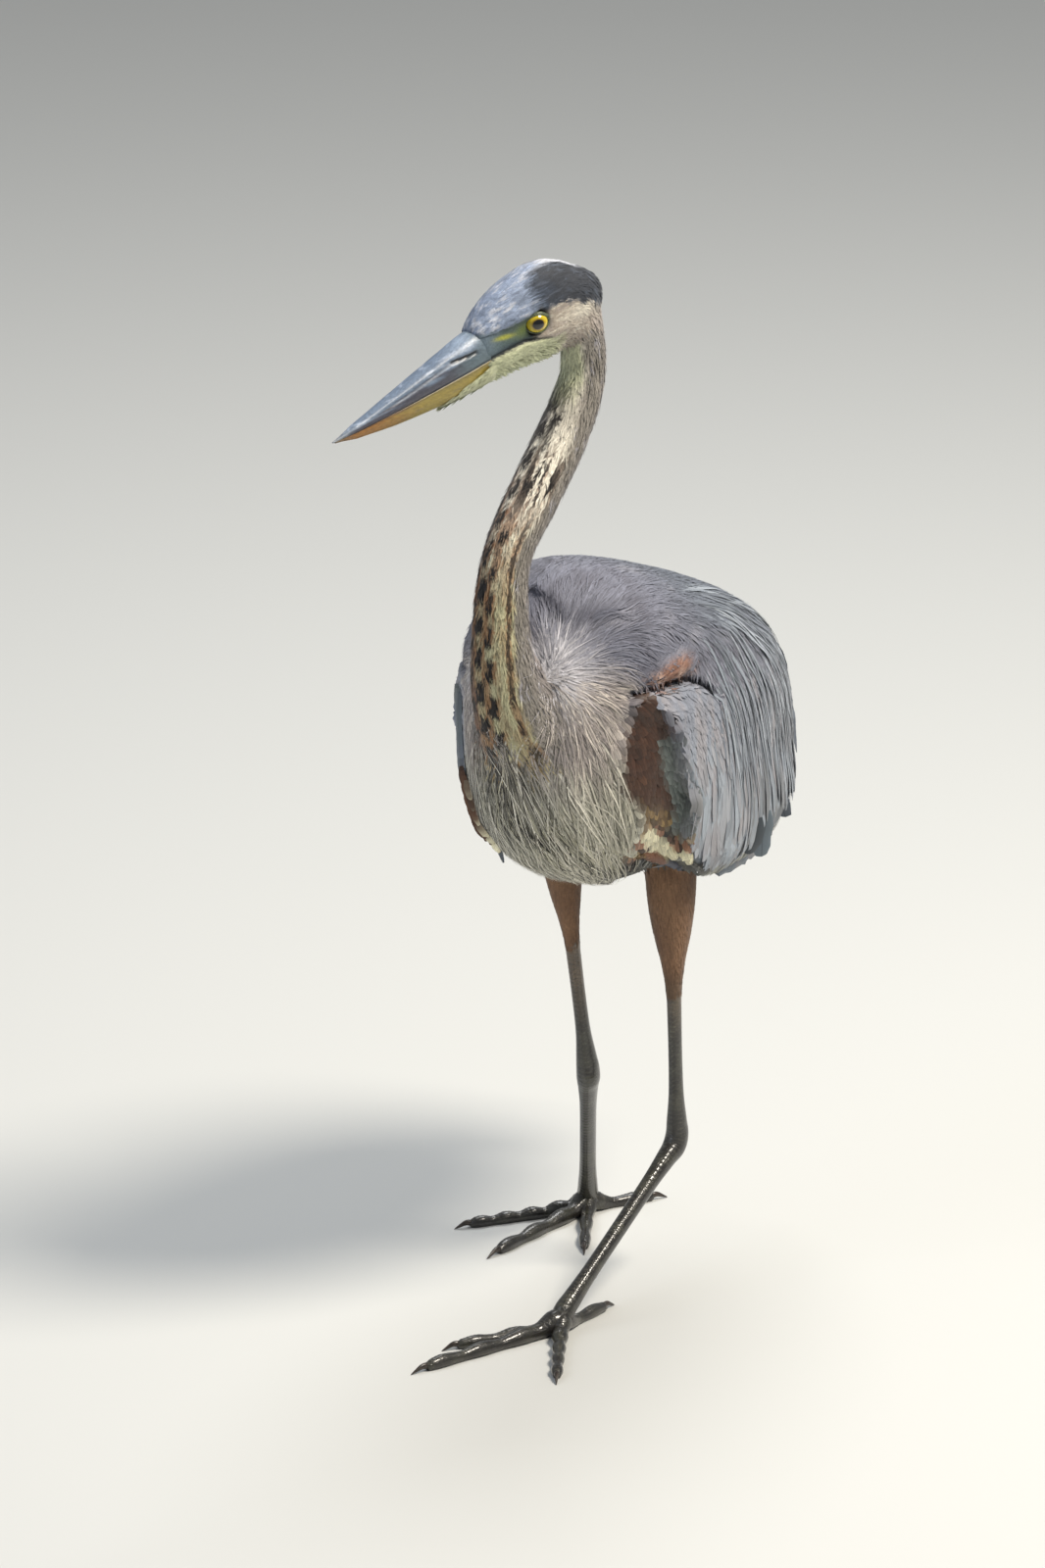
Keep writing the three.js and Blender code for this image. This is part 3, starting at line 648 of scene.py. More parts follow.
def thighColour(p, n, lane):
    c = blend(even("thigh", p), tone["thighPale"], 0.8 * noise3(p / np.array([8, 8, 20.0]), 5))
    c = blend(c, tone["chestnut"], ease(0.9, 1.0, lane) * 0.2 + ease(330, 350, p[:, 2]) * 0.5)
    return blend(c, tone["shinBrown"], ease(245, 222, p[:, 2] - 18 * (p[:, 0] < 0)) * 0.7)


def tailColour(p, n, lane):
    return blend(even("tail", p), tone["primary"], ease(310, 290, p[:, 2]) * 0.6)


paints = {"head": headColour, "neck": neckColour, "body": bodyColour, "thigh": thighColour,
          "tail": tailColour}


# nodes and materials
def addNode(tree, kind, links=None, inputs=None, **settings):
    node = tree.nodes.new(kind)
    for key, value in settings.items():
        setattr(node, key, value)
    for key, value in (inputs or {}).items():
        node.inputs[key].default_value = value
    for key, source in (links or {}).items():
        tree.links.new(source, node.inputs[key])
    return node


def newMaterial(name, **values):
    material = bpy.data.materials.new(name)
    material.use_nodes = True
    tree = material.node_tree
    shader = tree.nodes["Principled BSDF"]
    for key, value in values.items():
        shader.inputs[key.replace("_", " ")].default_value = value
    return material, tree, shader


def tintTimes(tree, shader, factor):
    # the vertex markings, darkened and lightened by a factor
    tint = addNode(tree, "ShaderNodeAttribute", attribute_name="tint")
    scaled = addNode(tree, "ShaderNodeVectorMath", {0: tint.outputs["Color"], "Scale": factor},
                     operation="SCALE")
    tree.links.new(scaled.outputs["Vector"], shader.inputs["Base Color"])
    return scaled


# down and soft contour feathers: keratin, matte with a faint silky edge light; loose barbs 0.5 mm apart
softFeather, tree, shader = newMaterial("softContourFeather", Roughness=0.68, IOR=1.54, Sheen_Weight=0.22,
                                        Sheen_Roughness=0.45, Specular_IOR_Level=0.32)
place = addNode(tree, "ShaderNodeTexCoord")
grain = addNode(tree, "ShaderNodeTexNoise", {"Vector": place.outputs["Object"]},
                {"Scale": 650.0, "Detail": 3.0, "Roughness": 0.65})
mottle = addNode(tree, "ShaderNodeMapRange", {"Value": grain.outputs["Fac"]},
                 {"From Min": 0.25, "From Max": 0.75, "To Min": 0.8, "To Max": 1.18})
tintTimes(tree, shader, mottle.outputs["Result"])

# vaned feathers: stiffer keratin, a smooth low gloss, a pale-edged vane of slanting barbs and a dark shaft
vanedFeather, tree, shader = newMaterial("vanedFlightFeather", Roughness=0.52, IOR=1.54, Sheen_Weight=0.12,
                                         Sheen_Roughness=0.4, Specular_IOR_Level=0.4)
vane = addNode(tree, "ShaderNodeUVMap", uv_map="vane")
split = addNode(tree, "ShaderNodeSeparateXYZ", {"Vector": vane.outputs["UV"]})
fromShaft = addNode(tree, "ShaderNodeMath", {0: split.outputs["X"]}, {1: 0.5}, operation="SUBTRACT")
fromShaft = addNode(tree, "ShaderNodeMath", {0: fromShaft.outputs["Value"]}, operation="ABSOLUTE")
slant = addNode(tree, "ShaderNodeMath", {0: fromShaft.outputs["Value"]}, {1: 1.3}, operation="MULTIPLY")
slant = addNode(tree, "ShaderNodeMath", {0: split.outputs["Y"], 1: slant.outputs["Value"]},
                operation="SUBTRACT")
slanted = addNode(tree, "ShaderNodeCombineXYZ", {"X": slant.outputs["Value"]})
barbs = addNode(tree, "ShaderNodeTexNoise", {"Vector": slanted.outputs["Vector"]},
                {"Scale": 26.0, "Detail": 3.0, "Roughness": 0.7})
barbTone = addNode(tree, "ShaderNodeMapRange", {"Value": barbs.outputs["Fac"]},
                   {"From Min": 0.3, "From Max": 0.7, "To Min": 0.84, "To Max": 1.13})
shaft = addNode(tree, "ShaderNodeMapRange", {"Value": fromShaft.outputs["Value"]},
                {"From Min": 0.015, "From Max": 0.05, "To Min": 0.62, "To Max": 1.0})
factor = addNode(tree, "ShaderNodeMath", {0: barbTone.outputs["Result"], 1: shaft.outputs["Result"]},
                 operation="MULTIPLY")
paleEdge = addNode(tree, "ShaderNodeMapRange", {"Value": fromShaft.outputs["Value"]},
                   {"From Min": 0.32, "From Max": 0.5, "To Min": 0.97, "To Max": 1.2})
factor = addNode(tree, "ShaderNodeMath", {0: factor.outputs["Value"], 1: paleEdge.outputs["Result"]},
                 operation="MULTIPLY")
tintTimes(tree, shader, factor.outputs["Value"])
relief = addNode(tree, "ShaderNodeBump", {"Height": barbs.outputs["Fac"]},
                 {"Strength": 0.3, "Distance": 0.0003})
tree.links.new(relief.outputs["Normal"], shader.inputs["Normal"])
print("feather materials")

# feathers
coats = {}


def scatter(mask, spacing, seed):
    # roots on the envelope where the mask holds, about a spacing in mm apart
    local = np.random.default_rng(seed)
    ids = np.nonzero(mask)[0]
    area = faceArea[ids]
    count = int(area.sum() / (spacing * mm) ** 2 * 3.2) + 1
    pick = local.choice(ids, count, p=area / area.sum())
    jitter = local.uniform(-1, 1, (count, 3)) * (faceArea[pick] ** 0.5)[:, None] * 0.5
    p = faceCentre[pick] + jitter - (jitter * faceNormal[pick]).sum(1)[:, None] * faceNormal[pick]
    cell = np.floor(p / (spacing * mm)).astype(np.int64)
    _, first = np.unique(cell @ np.array([1, 100003, 10000600009]), return_index=True)
    return p[first]


def tracePaths(p, n, length, steps, lie, turn, bendSide, drape):
    # the points, normals, directions and sides along feathers that lie on the envelope
    rows = []
    for k in range(steps + 1):
        d = lie(bird(p), n)
        d = unit(d - (d * n).sum(1)[:, None] * n)
        d = unit(d + np.cross(n, d) * (turn + bendSide * math.sin(2.5 * k / steps + 1))[:, None])
        rows.append((p, n, d, unit(np.cross(n, d))))
        if k < steps:
            reach = (length / steps)[:, None]
            ahead = p + d * reach
            q, n2 = nearestOn(ahead)
            if not drape:
                p, n = q, unit(n2 + 0.4 * n)
                continue
            # a stiff or long feather bridges hollows and hangs on past an edge
            off = ((ahead - q) * n2).sum(1)[:, None]
            free = ((n2 * n).sum(1)[:, None] < 0.5) | (off > 0.25 * reach + 0.8 * mm)
            p = np.where(free, ahead + (q - ahead) * 0.12 - np.array([0, 0, 0.12]) * reach, q)
            n = np.where(free, n, unit(n2 + 0.4 * n))
    return rows


def growFeathers(piece, roots, zone, length, width, depth=1.0, lift=0.3, wild=0.5, steps=4, columns=1,
                 spread=0.12, curl=0.0, cup=0.15, tilt=0.0, point=0.7, tip=0.1, seed=1, tipLight=0.25,
                 vary=0.09, paint=None, lie=None, patch=0.003, rootWidth=0.5, follow=0.65, roll=0.0,
                 drape=False, within=None, drop=None):
    # vanes laid along the envelope from their roots, each sunk by depth at its root
    # and standing off by lift at its tip
    local = np.random.default_rng(seed)
    count = len(roots)
    if count == 0:
        return
    lie, paint = lie or flows[zone], paint or paints[zone]
    length = np.broadcast_to(np.asarray(length, float), (count,)) * local.uniform(0.78, 1.22, count) * mm
    width = np.broadcast_to(np.asarray(width, float), (count,)) * local.uniform(0.85, 1.15, count) * mm
    lift = (lift + wild * local.uniform(-0.4, 1, count)) * mm
    turn = local.normal(0, spread, count)
    bendSide = local.normal(0, 1, count) * curl
    lane = local.uniform(0, 1, count)
    rolls = local.normal(0, 1, count) * roll
    depth = depth * mm
    p, n = nearestOn(roots)
    rows = tracePaths(p, n, length, steps, lie, turn, bendSide, drape)
    if within is not None:
        # feathers end at the edge of their region, each a little before or after it
        held = np.cumprod(np.stack([within(bird(row[0])) for row in rows[1:]]), 0).sum(0)
        length = length * np.where(held == steps, 1, (held + local.uniform(0.0, 0.9, count)) / steps)
        keep = held >= min(2, steps - 1)
        p, n, length, width, lift, turn, bendSide, lane, rolls = [
            a[keep] for a in (p, n, length, width, lift, turn, bendSide, lane, rolls)]
        rows = tracePaths(p, n, length, steps, lie, turn, bendSide, drape)
    if drape or drop is not None:
        # none crosses into the regions it would hide, and none stands clear of the body
        keep = np.linalg.norm(rows[-1][0] - nearestOn(rows[-1][0])[0], axis=1) < 6 * mm
        if drop is not None:
            keep = keep & ~np.any(np.stack([drop(bird(row[0])) for row in rows]), 0)
        length, width, lift, lane, rolls = [a[keep] for a in (length, width, lift, lane, rolls)]
        rows = [tuple(a[keep] for a in row) for row in rows]
    layVanes(piece, rows, zone, length, width, depth, lift, lane, rolls, local, steps, columns, cup, tilt,
             point, tip, tipLight, vary, paint, patch, rootWidth, follow)


def layVanes(piece, rows, zone, length, width, depth, lift, lane, rolls, local, steps, columns, cup, tilt,
             point, tip, tipLight, vary, paint, patch, rootWidth, follow):
    base, count = rows[0][0], len(rows[0][0])
    spots = np.linspace(-1, 1, columns + 1)
    verts, tints, vane, bake = [], [], [], []
    flat = unwrapPlace(zone, bird(base))
    handed = -np.sign(base[:, 0] - home[0]) * tilt
    for k, (p, n, d, side) in enumerate(rows):
        s = k / steps
        taper = 1 - (max(s - point, 0) / (1 - point)) ** 1.7 * (1 - tip)
        w = width * 0.5 * (rootWidth + (1 - rootWidth) * min(s * 3, 1)) * taper
        height = -depth * (1 - s) ** 1.5 + lift * s ** 1.4
        c0 = paint(bird(base) * (1 - follow * s) + bird(p) * follow * s, n, lane)
        for a in spots:
            rise = height + cup * w * (1 - a * a) + (handed + rolls) * w * a
            back = 0.25 * w * abs(a) if columns > 1 and s > 0.5 else 0
            verts.append(p + side * (w * a)[:, None] + n * np.asarray(rise)[:, None] - d
                         * np.asarray(back).reshape(-1, 1))
            # partly the paler feather ends, partly painted shade: each feather darkened at its root, where
            # the feathers over it shade it, and lightened towards its tip
            tints.append(c0 * (1 - tipLight * 0.6 + tipLight * s))
            vane.append(np.stack([np.full(count, 0.5 + 0.5 * a), s * length / width + lane * 7], -1))
            bake.append(flat + np.array([patch / 2 * a, patch * (s - 0.5)]))
    verts = np.stack(verts, 1)
    each = verts.shape[1]
    shade = (1 + local.normal(0, vary, count))[:, None, None]
    across = columns + 1
    quad = np.array([[across * k + j, across * k + j + 1, across * (k + 1) + j + 1, across * (k + 1) + j]
                     for k in range(steps) for j in range(columns)])
    faces = (quad[None] + (np.arange(count) * each)[:, None, None]).reshape(-1, 4)
    coats.setdefault(piece, []).append((verts.reshape(-1, 3), faces, np.stack(vane, 1).reshape(-1, 2),
                                        np.stack(bake, 1).reshape(-1, 2),
                                        np.clip(np.stack(tints, 1) * shade, 0, 1).reshape(-1, 3)))


def offThighs(p):
    clear = p[:, 2] > 300
    for leg in legs.values():
        clear &= (p[:, 2] > 322) | (np.abs(p[:, 0] - leg["knee"][0]) > 26) | (np.abs(p[:, 1]
                                                                                     - leg["knee"][1]) > 34)
    return clear


def placeFeathers(piece, rows, paint, steps=7, columns=4, lift=1.0, bow=3.0, seed=1, both=True, facing=None,
                  **shape):
    # single large feathers, each with a root, a tip and a width, bowed out and pushed clear of the envelope;
    # facing turns their vanes round towards that way
    local = np.random.default_rng(seed)
    rows = np.array([[*a, *b, w] for a, b, w in rows], float)
    if both:
        rows = np.vstack([rows, rows * [-1, 1, 1, -1, 1, 1, 1]])
    root, end, width = world(rows[:, 0:3]), world(rows[:, 3:6]), rows[:, 6] * mm
    points, normals = [], []
    for k in range(steps + 1):
        p = root + (end - root) * k / steps
        q, n = nearestOn(p)
        off = ((p - q) * n).sum(1)
        rise = (bow * math.sin(math.pi * k / steps) + lift) * mm
        points.append(np.where((off < rise)[:, None], q + n * rise, p))
        normals.append(n if k == 0 else unit(n + normals[-1]))
    ways = np.gradient(np.stack(points), axis=0)
    traced = []
    turned = np.zeros((len(rows), 3))
    if facing is not None:
        turned = np.array(facing, float) * np.where(rows[:, :1] > 0, 1,
                                                    [-1, 1, 1]) if both else np.tile(facing, (len(rows), 1))
    for p, n, d in zip(points, normals, ways):
        n = n + turned
        d = unit(d)
        n = unit(n - (n * d).sum(1)[:, None] * d)
        traced.append((p, n, d, unit(np.cross(n, d))))
    values = {"cup": 0.15, "tilt": 0.12, "point": 0.7, "tip": 0.4, "tipLight": 0.1, "vary": 0.06,
              "patch": 0.006, "rootWidth": 0.6, "follow": 0.8}
    values.update(shape)
    none = np.zeros(len(rows))
    layVanes(piece, traced, "body", np.linalg.norm(end - root, axis=1), width, 0.5 * mm, none,
             local.uniform(0, 1, len(rows)), none, local, steps, columns, values["cup"], values["tilt"],
             values["point"], values["tip"], values["tipLight"], values["vary"], paint, values["patch"],
             values["rootWidth"], values["follow"])


def unwrapPlace(zone, p):
    # a place on the skin laid out flat, each part of the body in its own strip of the map
    if zone == "head":
        d = p - headCentre
        u, v = (d @ headAhead + 75) / 150, np.arctan2(d @ headLeft, d @ headUp + 6) / (2 * math.pi) + 0.5
        u, v = 0.01 + 0.30 * u, 0.80 + 0.19 * v
    elif zone == "neck":
        t, angle = neckAngle(p)
        u, v = 0.34 + 0.64 * t, 0.80 + 0.19 * (angle / 360 + 0.5)
    elif zone == "thigh":
        left = p[:, 0] > 0
        turn = np.arctan2(p[:, 0] - np.where(left, 41, -33), p[:, 1] + 35) / (2 * math.pi) + 0.5
        u, v = np.where(left, 0.01, 0.26) + 0.22 * (p[:, 2] - 190) / 180, 0.66 + 0.12 * turn
    elif zone == "tail":
        u, v = 0.52 + 0.2 * (p[:, 2] - 270) / 150, 0.66 + 0.12 * (p[:, 0] / 70 + 0.5)
    else:
        u = 0.01 + 0.98 * (p[:, 1] + 215) / 430
        v = 0.01 + 0.63 * (np.arctan2(p[:, 0], p[:, 2] - 425) / (2 * math.pi) + 0.5)
    return np.clip(np.stack([u, v], -1), 0.004, 0.996)


def finishCoat(piece, material):
    store, start, faces = coats.pop(piece), 0, []
    for part in store:
        faces.append(part[1] + start)
        start += len(part[0])
    verts, vane, bake, tints = [np.concatenate([part[k] for part in store]) for k in (0, 2, 3, 4)]
    faces = np.concatenate(faces)
    obj = makeObject(piece, verts, faces.tolist(), {"OFBake": bake, "vane": vane}, {"tint": tints})
    obj.data.materials.append(material)
    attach(obj, "root")
    print(piece, len(faces) * 2, "triangles")
    return obj


headB = faceB - headCentre
hf, hs, hu = headB @ headAhead, headB @ headLeft, headB @ headUp
isHead, isNeck, isThigh, isTail = labelled("head"), labelled("neck"), labelled("thigh"), labelled("tail")
isBody = ~(isHead | isNeck | isThigh | isTail)
fy, fz, fx = faceB[:, 1], faceB[:, 2], np.abs(faceB[:, 0])
faceBehind = behindPanelEdge(faceB)
onPanel = isBody & (fx > 40) & (faceBehind > 0) & (fz < creaseHeight(fy) - 1) & (faceNormal[:, 2] > -0.75)
onFace = isBody & (fx > 36) & (faceBehind <= 0) & (faceBehind > -44) & (fz < creaseHeight(fy)) & (fz > 346)
belowWing = isBody & (faceNormal[:, 2] < -0.55) & (fz < 360)
onChestnut = onFace & (faceBehind > np.interp(fz, chestnutEdge[:, 0], chestnutEdge[:, 1]) - 4)
mantle = isBody & ~onPanel & ~onChestnut & ~belowWing

# head: the smallest feathers, shortest round the eye and the bill
headCoat = {"spacing": 1.2, "length": 7.0, "width": 1.6}
eyeClear = ((hf - 3.5) / 9.4) ** 2 + ((hu + 6) / 8.6) ** 2 > 1
lores = (hf > 5) & (hu < 2.2) & (hu > gapeLine(hf) + 0.2) & (np.abs(hs) > 4)
feathered = isHead & eyeClear & ~lores & (hf < 54)
closeTo = (np.abs(hf - 3) < 18) & (np.abs(hu + 6) < 16)
roots = scatter(feathered & closeTo, 1.0, 10)
growFeathers("HeadFeathers", roots, "head", 4.2, 1.3, 0.5, 0.05, 0.15, steps=3, seed=10, tipLight=0.15,
             vary=0.08)
roots = scatter(feathered & ~closeTo, headCoat["spacing"], 11)
growFeathers("HeadFeathers", roots, "head", headCoat["length"], headCoat["width"], 0.7, 0.1, 0.3, steps=3,
             seed=12, tipLight=0.2, vary=0.11)
# long fine feathers along the crown, and loose ones behind the cheek
roots = scatter(isHead & (hu > 8) & (hf < 34), 3.0, 19)
growFeathers("HeadFeathers", roots, "head", 15, 1.0, 0.4, 0.3, 0.5, steps=4, spread=0.1, seed=20,
             tipLight=0.5, vary=0.16)
roots = scatter(isHead & (hu < 4) & (hf < -14) & (hf > -60), 3.4, 17)
growFeathers("HeadFeathers", roots, "head", 11, 1.1, 0.4, 0.4, 0.8, steps=3, spread=0.25, seed=18,
             tipLight=0.5, vary=0.14)
# the feathered wedge under the lower bill, and ragged tufts under the chin


def growChin(count, steps=4, seed=15):
    # the pale wedge of feathers that runs forward along the lower edge of the bill
    local = np.random.default_rng(seed)
    ahead = 36 + 44 * local.uniform(0, 1, count) ** 1.3
    reach, lean = local.uniform(7, 13, count), local.uniform(0.02, 0.22, count)
    handed = local.choice([-1, 1], count)
    section = smoothSection(ahead)
    top, low = np.interp(ahead, [30, 80], [-17.5, -31.5]), section[:, 0] - section[:, 3]
    height = top + (low - 0.4 - top) * local.uniform(0, 1, count) ** 0.75
    rows = []
    for k in range(steps + 1):
        f, u = ahead + reach * k / steps, height - reach * lean * k / steps
        section = smoothSection(f)
        sine = np.clip((section[:, 0] - u) / section[:, 3], 0, 1)
        s = section[:, 1] * np.sqrt(1 - sine ** 2) ** 0.8 + 0.2
        out = unit(headLeft * (handed * s / section[:, 1] ** 2)[:, None]
                   + headUp * ((u - section[:, 0]) / section[:, 3] ** 2)[:, None])
        p = headCentre + f[:, None] * headAhead + (handed * s)[:, None] * headLeft + u[:, None] * headUp
        d = unit(headAhead[None] - headUp[None] * lean[:, None])
        d = unit(d - (d * out).sum(1)[:, None] * out)
        rows.append((world(p), out, d, unit(np.cross(out, d))))
    layVanes("HeadFeathers", rows, "head", reach * mm, local.uniform(1.3, 2.0, count) * mm, 0.5 * mm,
             local.uniform(0.2, 1.0, count) * mm, local.uniform(0, 1, count), np.zeros(count), local, steps,
             1, 0.1, 0.0, 0.6, 0.1, 0.2, 0.1, headColour, 0.003, 0.5, 0.6)


growChin(760)
chinLine = feathered & (hu < -26) & (hf > -16)
roots = scatter(chinLine, 2.0, 21)
growFeathers("HeadFeathers", roots, "head", 8.5, 1.5, 0.5, 1.6, 2.0, steps=3, spread=0.3, seed=22,
             tipLight=0.3, drape=True)
# the short nape point
roots = scatter(isHead & (hf < -46) & (hu > -26) & (hu < 6), 2.2, 23)
growFeathers("HeadFeathers", roots, "head", 17, 2.0, 0.6, 0.5, 0.9, steps=4, seed=24, tipLight=0.2)
finishCoat("HeadFeathers", softFeather)

# neck: short narrow feathers, close and smooth behind, looser and streaked down the front
neckCoat = {"spacing": 1.7, "length": 13, "width": 2.0}
roots = scatter(isNeck, neckCoat["spacing"], 13)
growFeathers("NeckFeathers", roots, "neck", neckCoat["length"], neckCoat["width"], 1.3, 0.2, 0.5, steps=5,
             seed=14, tipLight=0.18, vary=0.10, roll=0.1, follow=1.0, spread=0.07)
roots = scatter(isNeck, 4.0, 25)
growFeathers("NeckFeathers", roots, "neck", 20, 1.1, 0.8, 0.7, 1.2, steps=5, spread=0.20, curl=0.2, seed=26,
             tipLight=0.55, vary=0.12, follow=1.0)
finishCoat("NeckFeathers", softFeather)


def onWingFace(p):
    front = np.interp(p[:, 2], chestnutEdge[:, 0], chestnutEdge[:, 1])
    return (np.abs(p[:, 0]) > 42) & (p[:, 2] < 476) & (p[:, 2] > 340) & (behindPanelEdge(p) > front + 1)


def acrossNeck(p):
    x, y, z = p[:, 0], p[:, 1], p[:, 2]
    return (np.abs(x) < 18) & (z > 440) & (y < -184) | (x < 0) & (x > -31) & (z > 465) & (y < -190)


def strayPlume(p):
    return onWingFace(p) | acrossNeck(p)


# shoulders, back and flanks: fine hair-like feathers that part at the foot of the neck
mantleCoat = {"spacing": 2.3, "length": 25, "width": 1.9}
roots = scatter(mantle & (fz > 430), mantleCoat["spacing"], 15)
growFeathers("ShoulderFeathers", roots, "body", mantleCoat["length"], mantleCoat["width"], 1.6, 0.15, 0.6,
             steps=4, seed=16, tipLight=0.2, vary=0.10, curl=0.08, roll=0.12)
roots = scatter(mantle & (fz > 420), 4.6, 27)
growFeathers("ShoulderFeathers", roots, "body", 30, 0.9, 0.6, 0.5, 0.8, steps=5, spread=0.16, curl=0.2,
             seed=28, tipLight=0.45, vary=0.14, drop=strayPlume)
# short close feathers on the parting and on the rufous bend
nearWhorl = np.linalg.norm(faceB - np.where(faceB[:, 0:1] > 0, whorl, whorl * [-1, 1, 1]), axis=1)
roots = scatter(isBody & (nearWhorl < 26), 1.7, 71)
growFeathers("ShoulderFeathers", roots, "body", 15, 1.2, 0.8, 0.4, 0.6, steps=4, spread=0.1, seed=72,
             tipLight=0.4, vary=0.08, drop=acrossNeck)
bendAt = (np.abs((fy + 103) * 0.97 + (fz - 487) * 0.22) < 26) & (np.abs(fz - 487 - 0.22 * (fy + 103)) < 9)
roots = scatter(isBody & bendAt & (faceB[:, 0] > 40) & (fz > creaseHeight(fy) + 2), 1.6, 73)


def alongBend(p, n):
    return np.tile(unit([0.0, 0.75, 0.45]), (len(p), 1))


growFeathers("ShoulderFeathers", roots, "body", 9, 1.7, 0.5, 0.9, 0.6, steps=4, spread=0.12, seed=74,
             tipLight=0.2, vary=0.12, lie=alongBend, follow=1.0)
roots = scatter(isBody & (nearWhorl < 7), 1.0, 87)
growFeathers("ShoulderFeathers", roots, "body", 8, 1.2, 0.2, 0.4, 0.5, steps=4, spread=1.8, seed=88,
             tipLight=0.3, vary=0.08, lie=alongBend)
finishCoat("ShoulderFeathers", softFeather)


roots = scatter(mantle & (fz <= 430) & (fy < -40), 2.6, 29)
growFeathers("BreastFeathers", roots, "body", 30, 2.2, 1.6, 0.3, 1.2, steps=4, seed=30, tipLight=0.25,
             vary=0.14, curl=0.12, roll=0.2, lie=breastFlow, drop=onWingFace)
roots = scatter(mantle & (fz <= 430) & (fy >= -40), 3.6, 83)
growFeathers("BreastFeathers", roots, "body", 26, 3.2, 1.6, 0.2, 0.8, steps=4, seed=84, tipLight=0.2,
             vary=0.1, within=offThighs)


def ventPaint(p, n, lane):
    c = blend(even("vent", p), tone["breastWhite"], (lane < 0.4) * 0.6)
    return blend(c, tone["bellyBlack"], ease(-20, -40, p[:, 1]) * ease(14, 22, np.abs(p[:, 0])) * 0.8)


roots = scatter(belowWing, 3.4, 31)
growFeathers("BreastFeathers", roots, "body", 16, 2.4, 1.6, 0.2, 0.6, steps=4, seed=32, paint=ventPaint,
             within=offThighs)
finishCoat("BreastFeathers", softFeather)

# the fan below the parting, and the long loose plumes that hang over the breast
plumeCoat = {"fan": 46, "long": 105}
roots = scatter(isBody & (nearWhorl < 46) & (fy < -130) & (fx > 23), 2.2, 33)
growFeathers("BreastPlumes", roots, "body", plumeCoat["fan"], 1.2, 0.8, 0.8, 1.6, steps=6, spread=0.12,
             curl=0.15, seed=34, tipLight=0.5, vary=0.16, point=0.3, drop=strayPlume)


def plumePaint(p, n, lane):
    c = blend(even("breastWhite", p), tone["fan"], ease(420, 470, p[:, 2]))
    dark, pale = breastSweep(p)
    c = blend(c, tone["neckCream"], pale * 0.4 * (lane < 0.5))
    c = blend(c, tone["breastDark"], 0.3 * (lane > 0.5) + 0.5 * (lane > 0.76))
    c = blend(c, tone["bellyBlack"], dark * 0.9 * (lane > 0.2))
    c = blend(c, tone["neckWhite"], (lane < 0.2) * 0.9)
    return blend(c, tone["bellyBlack"], blackBelly(p) * (lane > 0.3) * 0.9)


def fringePaint(p, n, lane):
    return blend(even("neckWhite", p), tone["breastWhite"], lane)


roots = scatter((isBody | isNeck) & (fy < -136) & (fz < 480) & (fz > 386) & (fx < 54), 3.4, 35)
growFeathers("BreastPlumes", roots, "body", plumeCoat["long"], 1.2, 0.4, 1.2, 2.6, steps=10, spread=0.13,
             curl=0.16, seed=36, tipLight=0.35, vary=0.16, point=0.35, paint=plumePaint, tip=0.06,
             lie=breastFlow, drop=onWingFace)
roots = scatter(isBody & (fy < -70) & (fz < 392) & (fx < 48) & (faceNormal[:, 2] < 0.1), 4.6, 37)
growFeathers("BreastPlumes", roots, "body", 62, 1.4, 0.4, 1.5, 3.0, steps=7, spread=0.2, curl=0.2, seed=38,
             tipLight=0.3, vary=0.16, point=0.35, paint=plumePaint, tip=0.06, lie=breastFlow, drop=onWingFace)
roots = scatter(isBody & (fy < -150) & (fz < 470) & (fz > 400) & (fx < 46), 6.4, 75)
growFeathers("BreastPlumes", roots, "body", 125, 1.15, 0.4, 2.4, 3.0, steps=12, spread=0.2, curl=0.22,
             seed=76, tipLight=0.1, vary=0.1, point=0.35, paint=fringePaint, tip=0.1, lie=breastFlow,
             drop=onWingFace)
finishCoat("BreastPlumes", softFeather)

# front of the folded wing: short chestnut marginal coverts
roots = scatter(onChestnut, 3.9, 39)
growFeathers("WingFaceCoverts", roots, "body", 12, 7.4, 1.0, 0.6, 0.7, steps=5, columns=4, seed=40,
             tipLight=0.3, vary=0.14, tip=0.5, point=0.55, spread=0.06, cup=0.3, follow=0.15)
finishCoat("WingFaceCoverts", vanedFeather)

# the outer panel: smooth lesser coverts above, then rows of longer coverts down to the wing's lower edge
wingCoat = {"lesser": 15, "median": 30, "greater": 62, "scapular": 96, "secondary": 80}
lowEdge = np.array([[-90, 364], [-42, 326], [-15, 322], [4, 325], [16, 337], [50, 344], [90, 340],
                    [130, 336], [180, 340]], float)


def wingHeld(p):
    return (p[:, 2] > np.interp(p[:, 1], lowEdge[:, 0], lowEdge[:, 1])) & (np.abs(p[:, 0]) > 20)


roots = scatter(onPanel & (fz > 392), 2.9, 41)
growFeathers("LesserCoverts", roots, "body", wingCoat["lesser"], 3.4, 1.0, 0.2, 0.4, steps=4, columns=1,
             seed=42, tipLight=0.22, vary=0.07, spread=0.06)
roots = scatter(onPanel & (fz < 470) & (fz > 350) & (fy > -50), 7.0, 57)
growFeathers("LesserCoverts", roots, "body", 38, 0.9, 0.5, 0.9, 0.9, steps=5, spread=0.08, curl=0.1, seed=58,
             tipLight=0.3, vary=0.12, within=wingHeld)
finishCoat("LesserCoverts", softFeather)


def vanePaint(p, n, lane):
    c = bodyColour(p, n, lane)
    c = blend(c, tone["panelPale"], (lane < 0.35) * 0.35)
    c = blend(c, tone["panelWarm"], ((lane > 0.35) & (lane < 0.6)) * 0.5)
    return blend(c, tone["secondary"], (lane > 0.88) * 0.35)


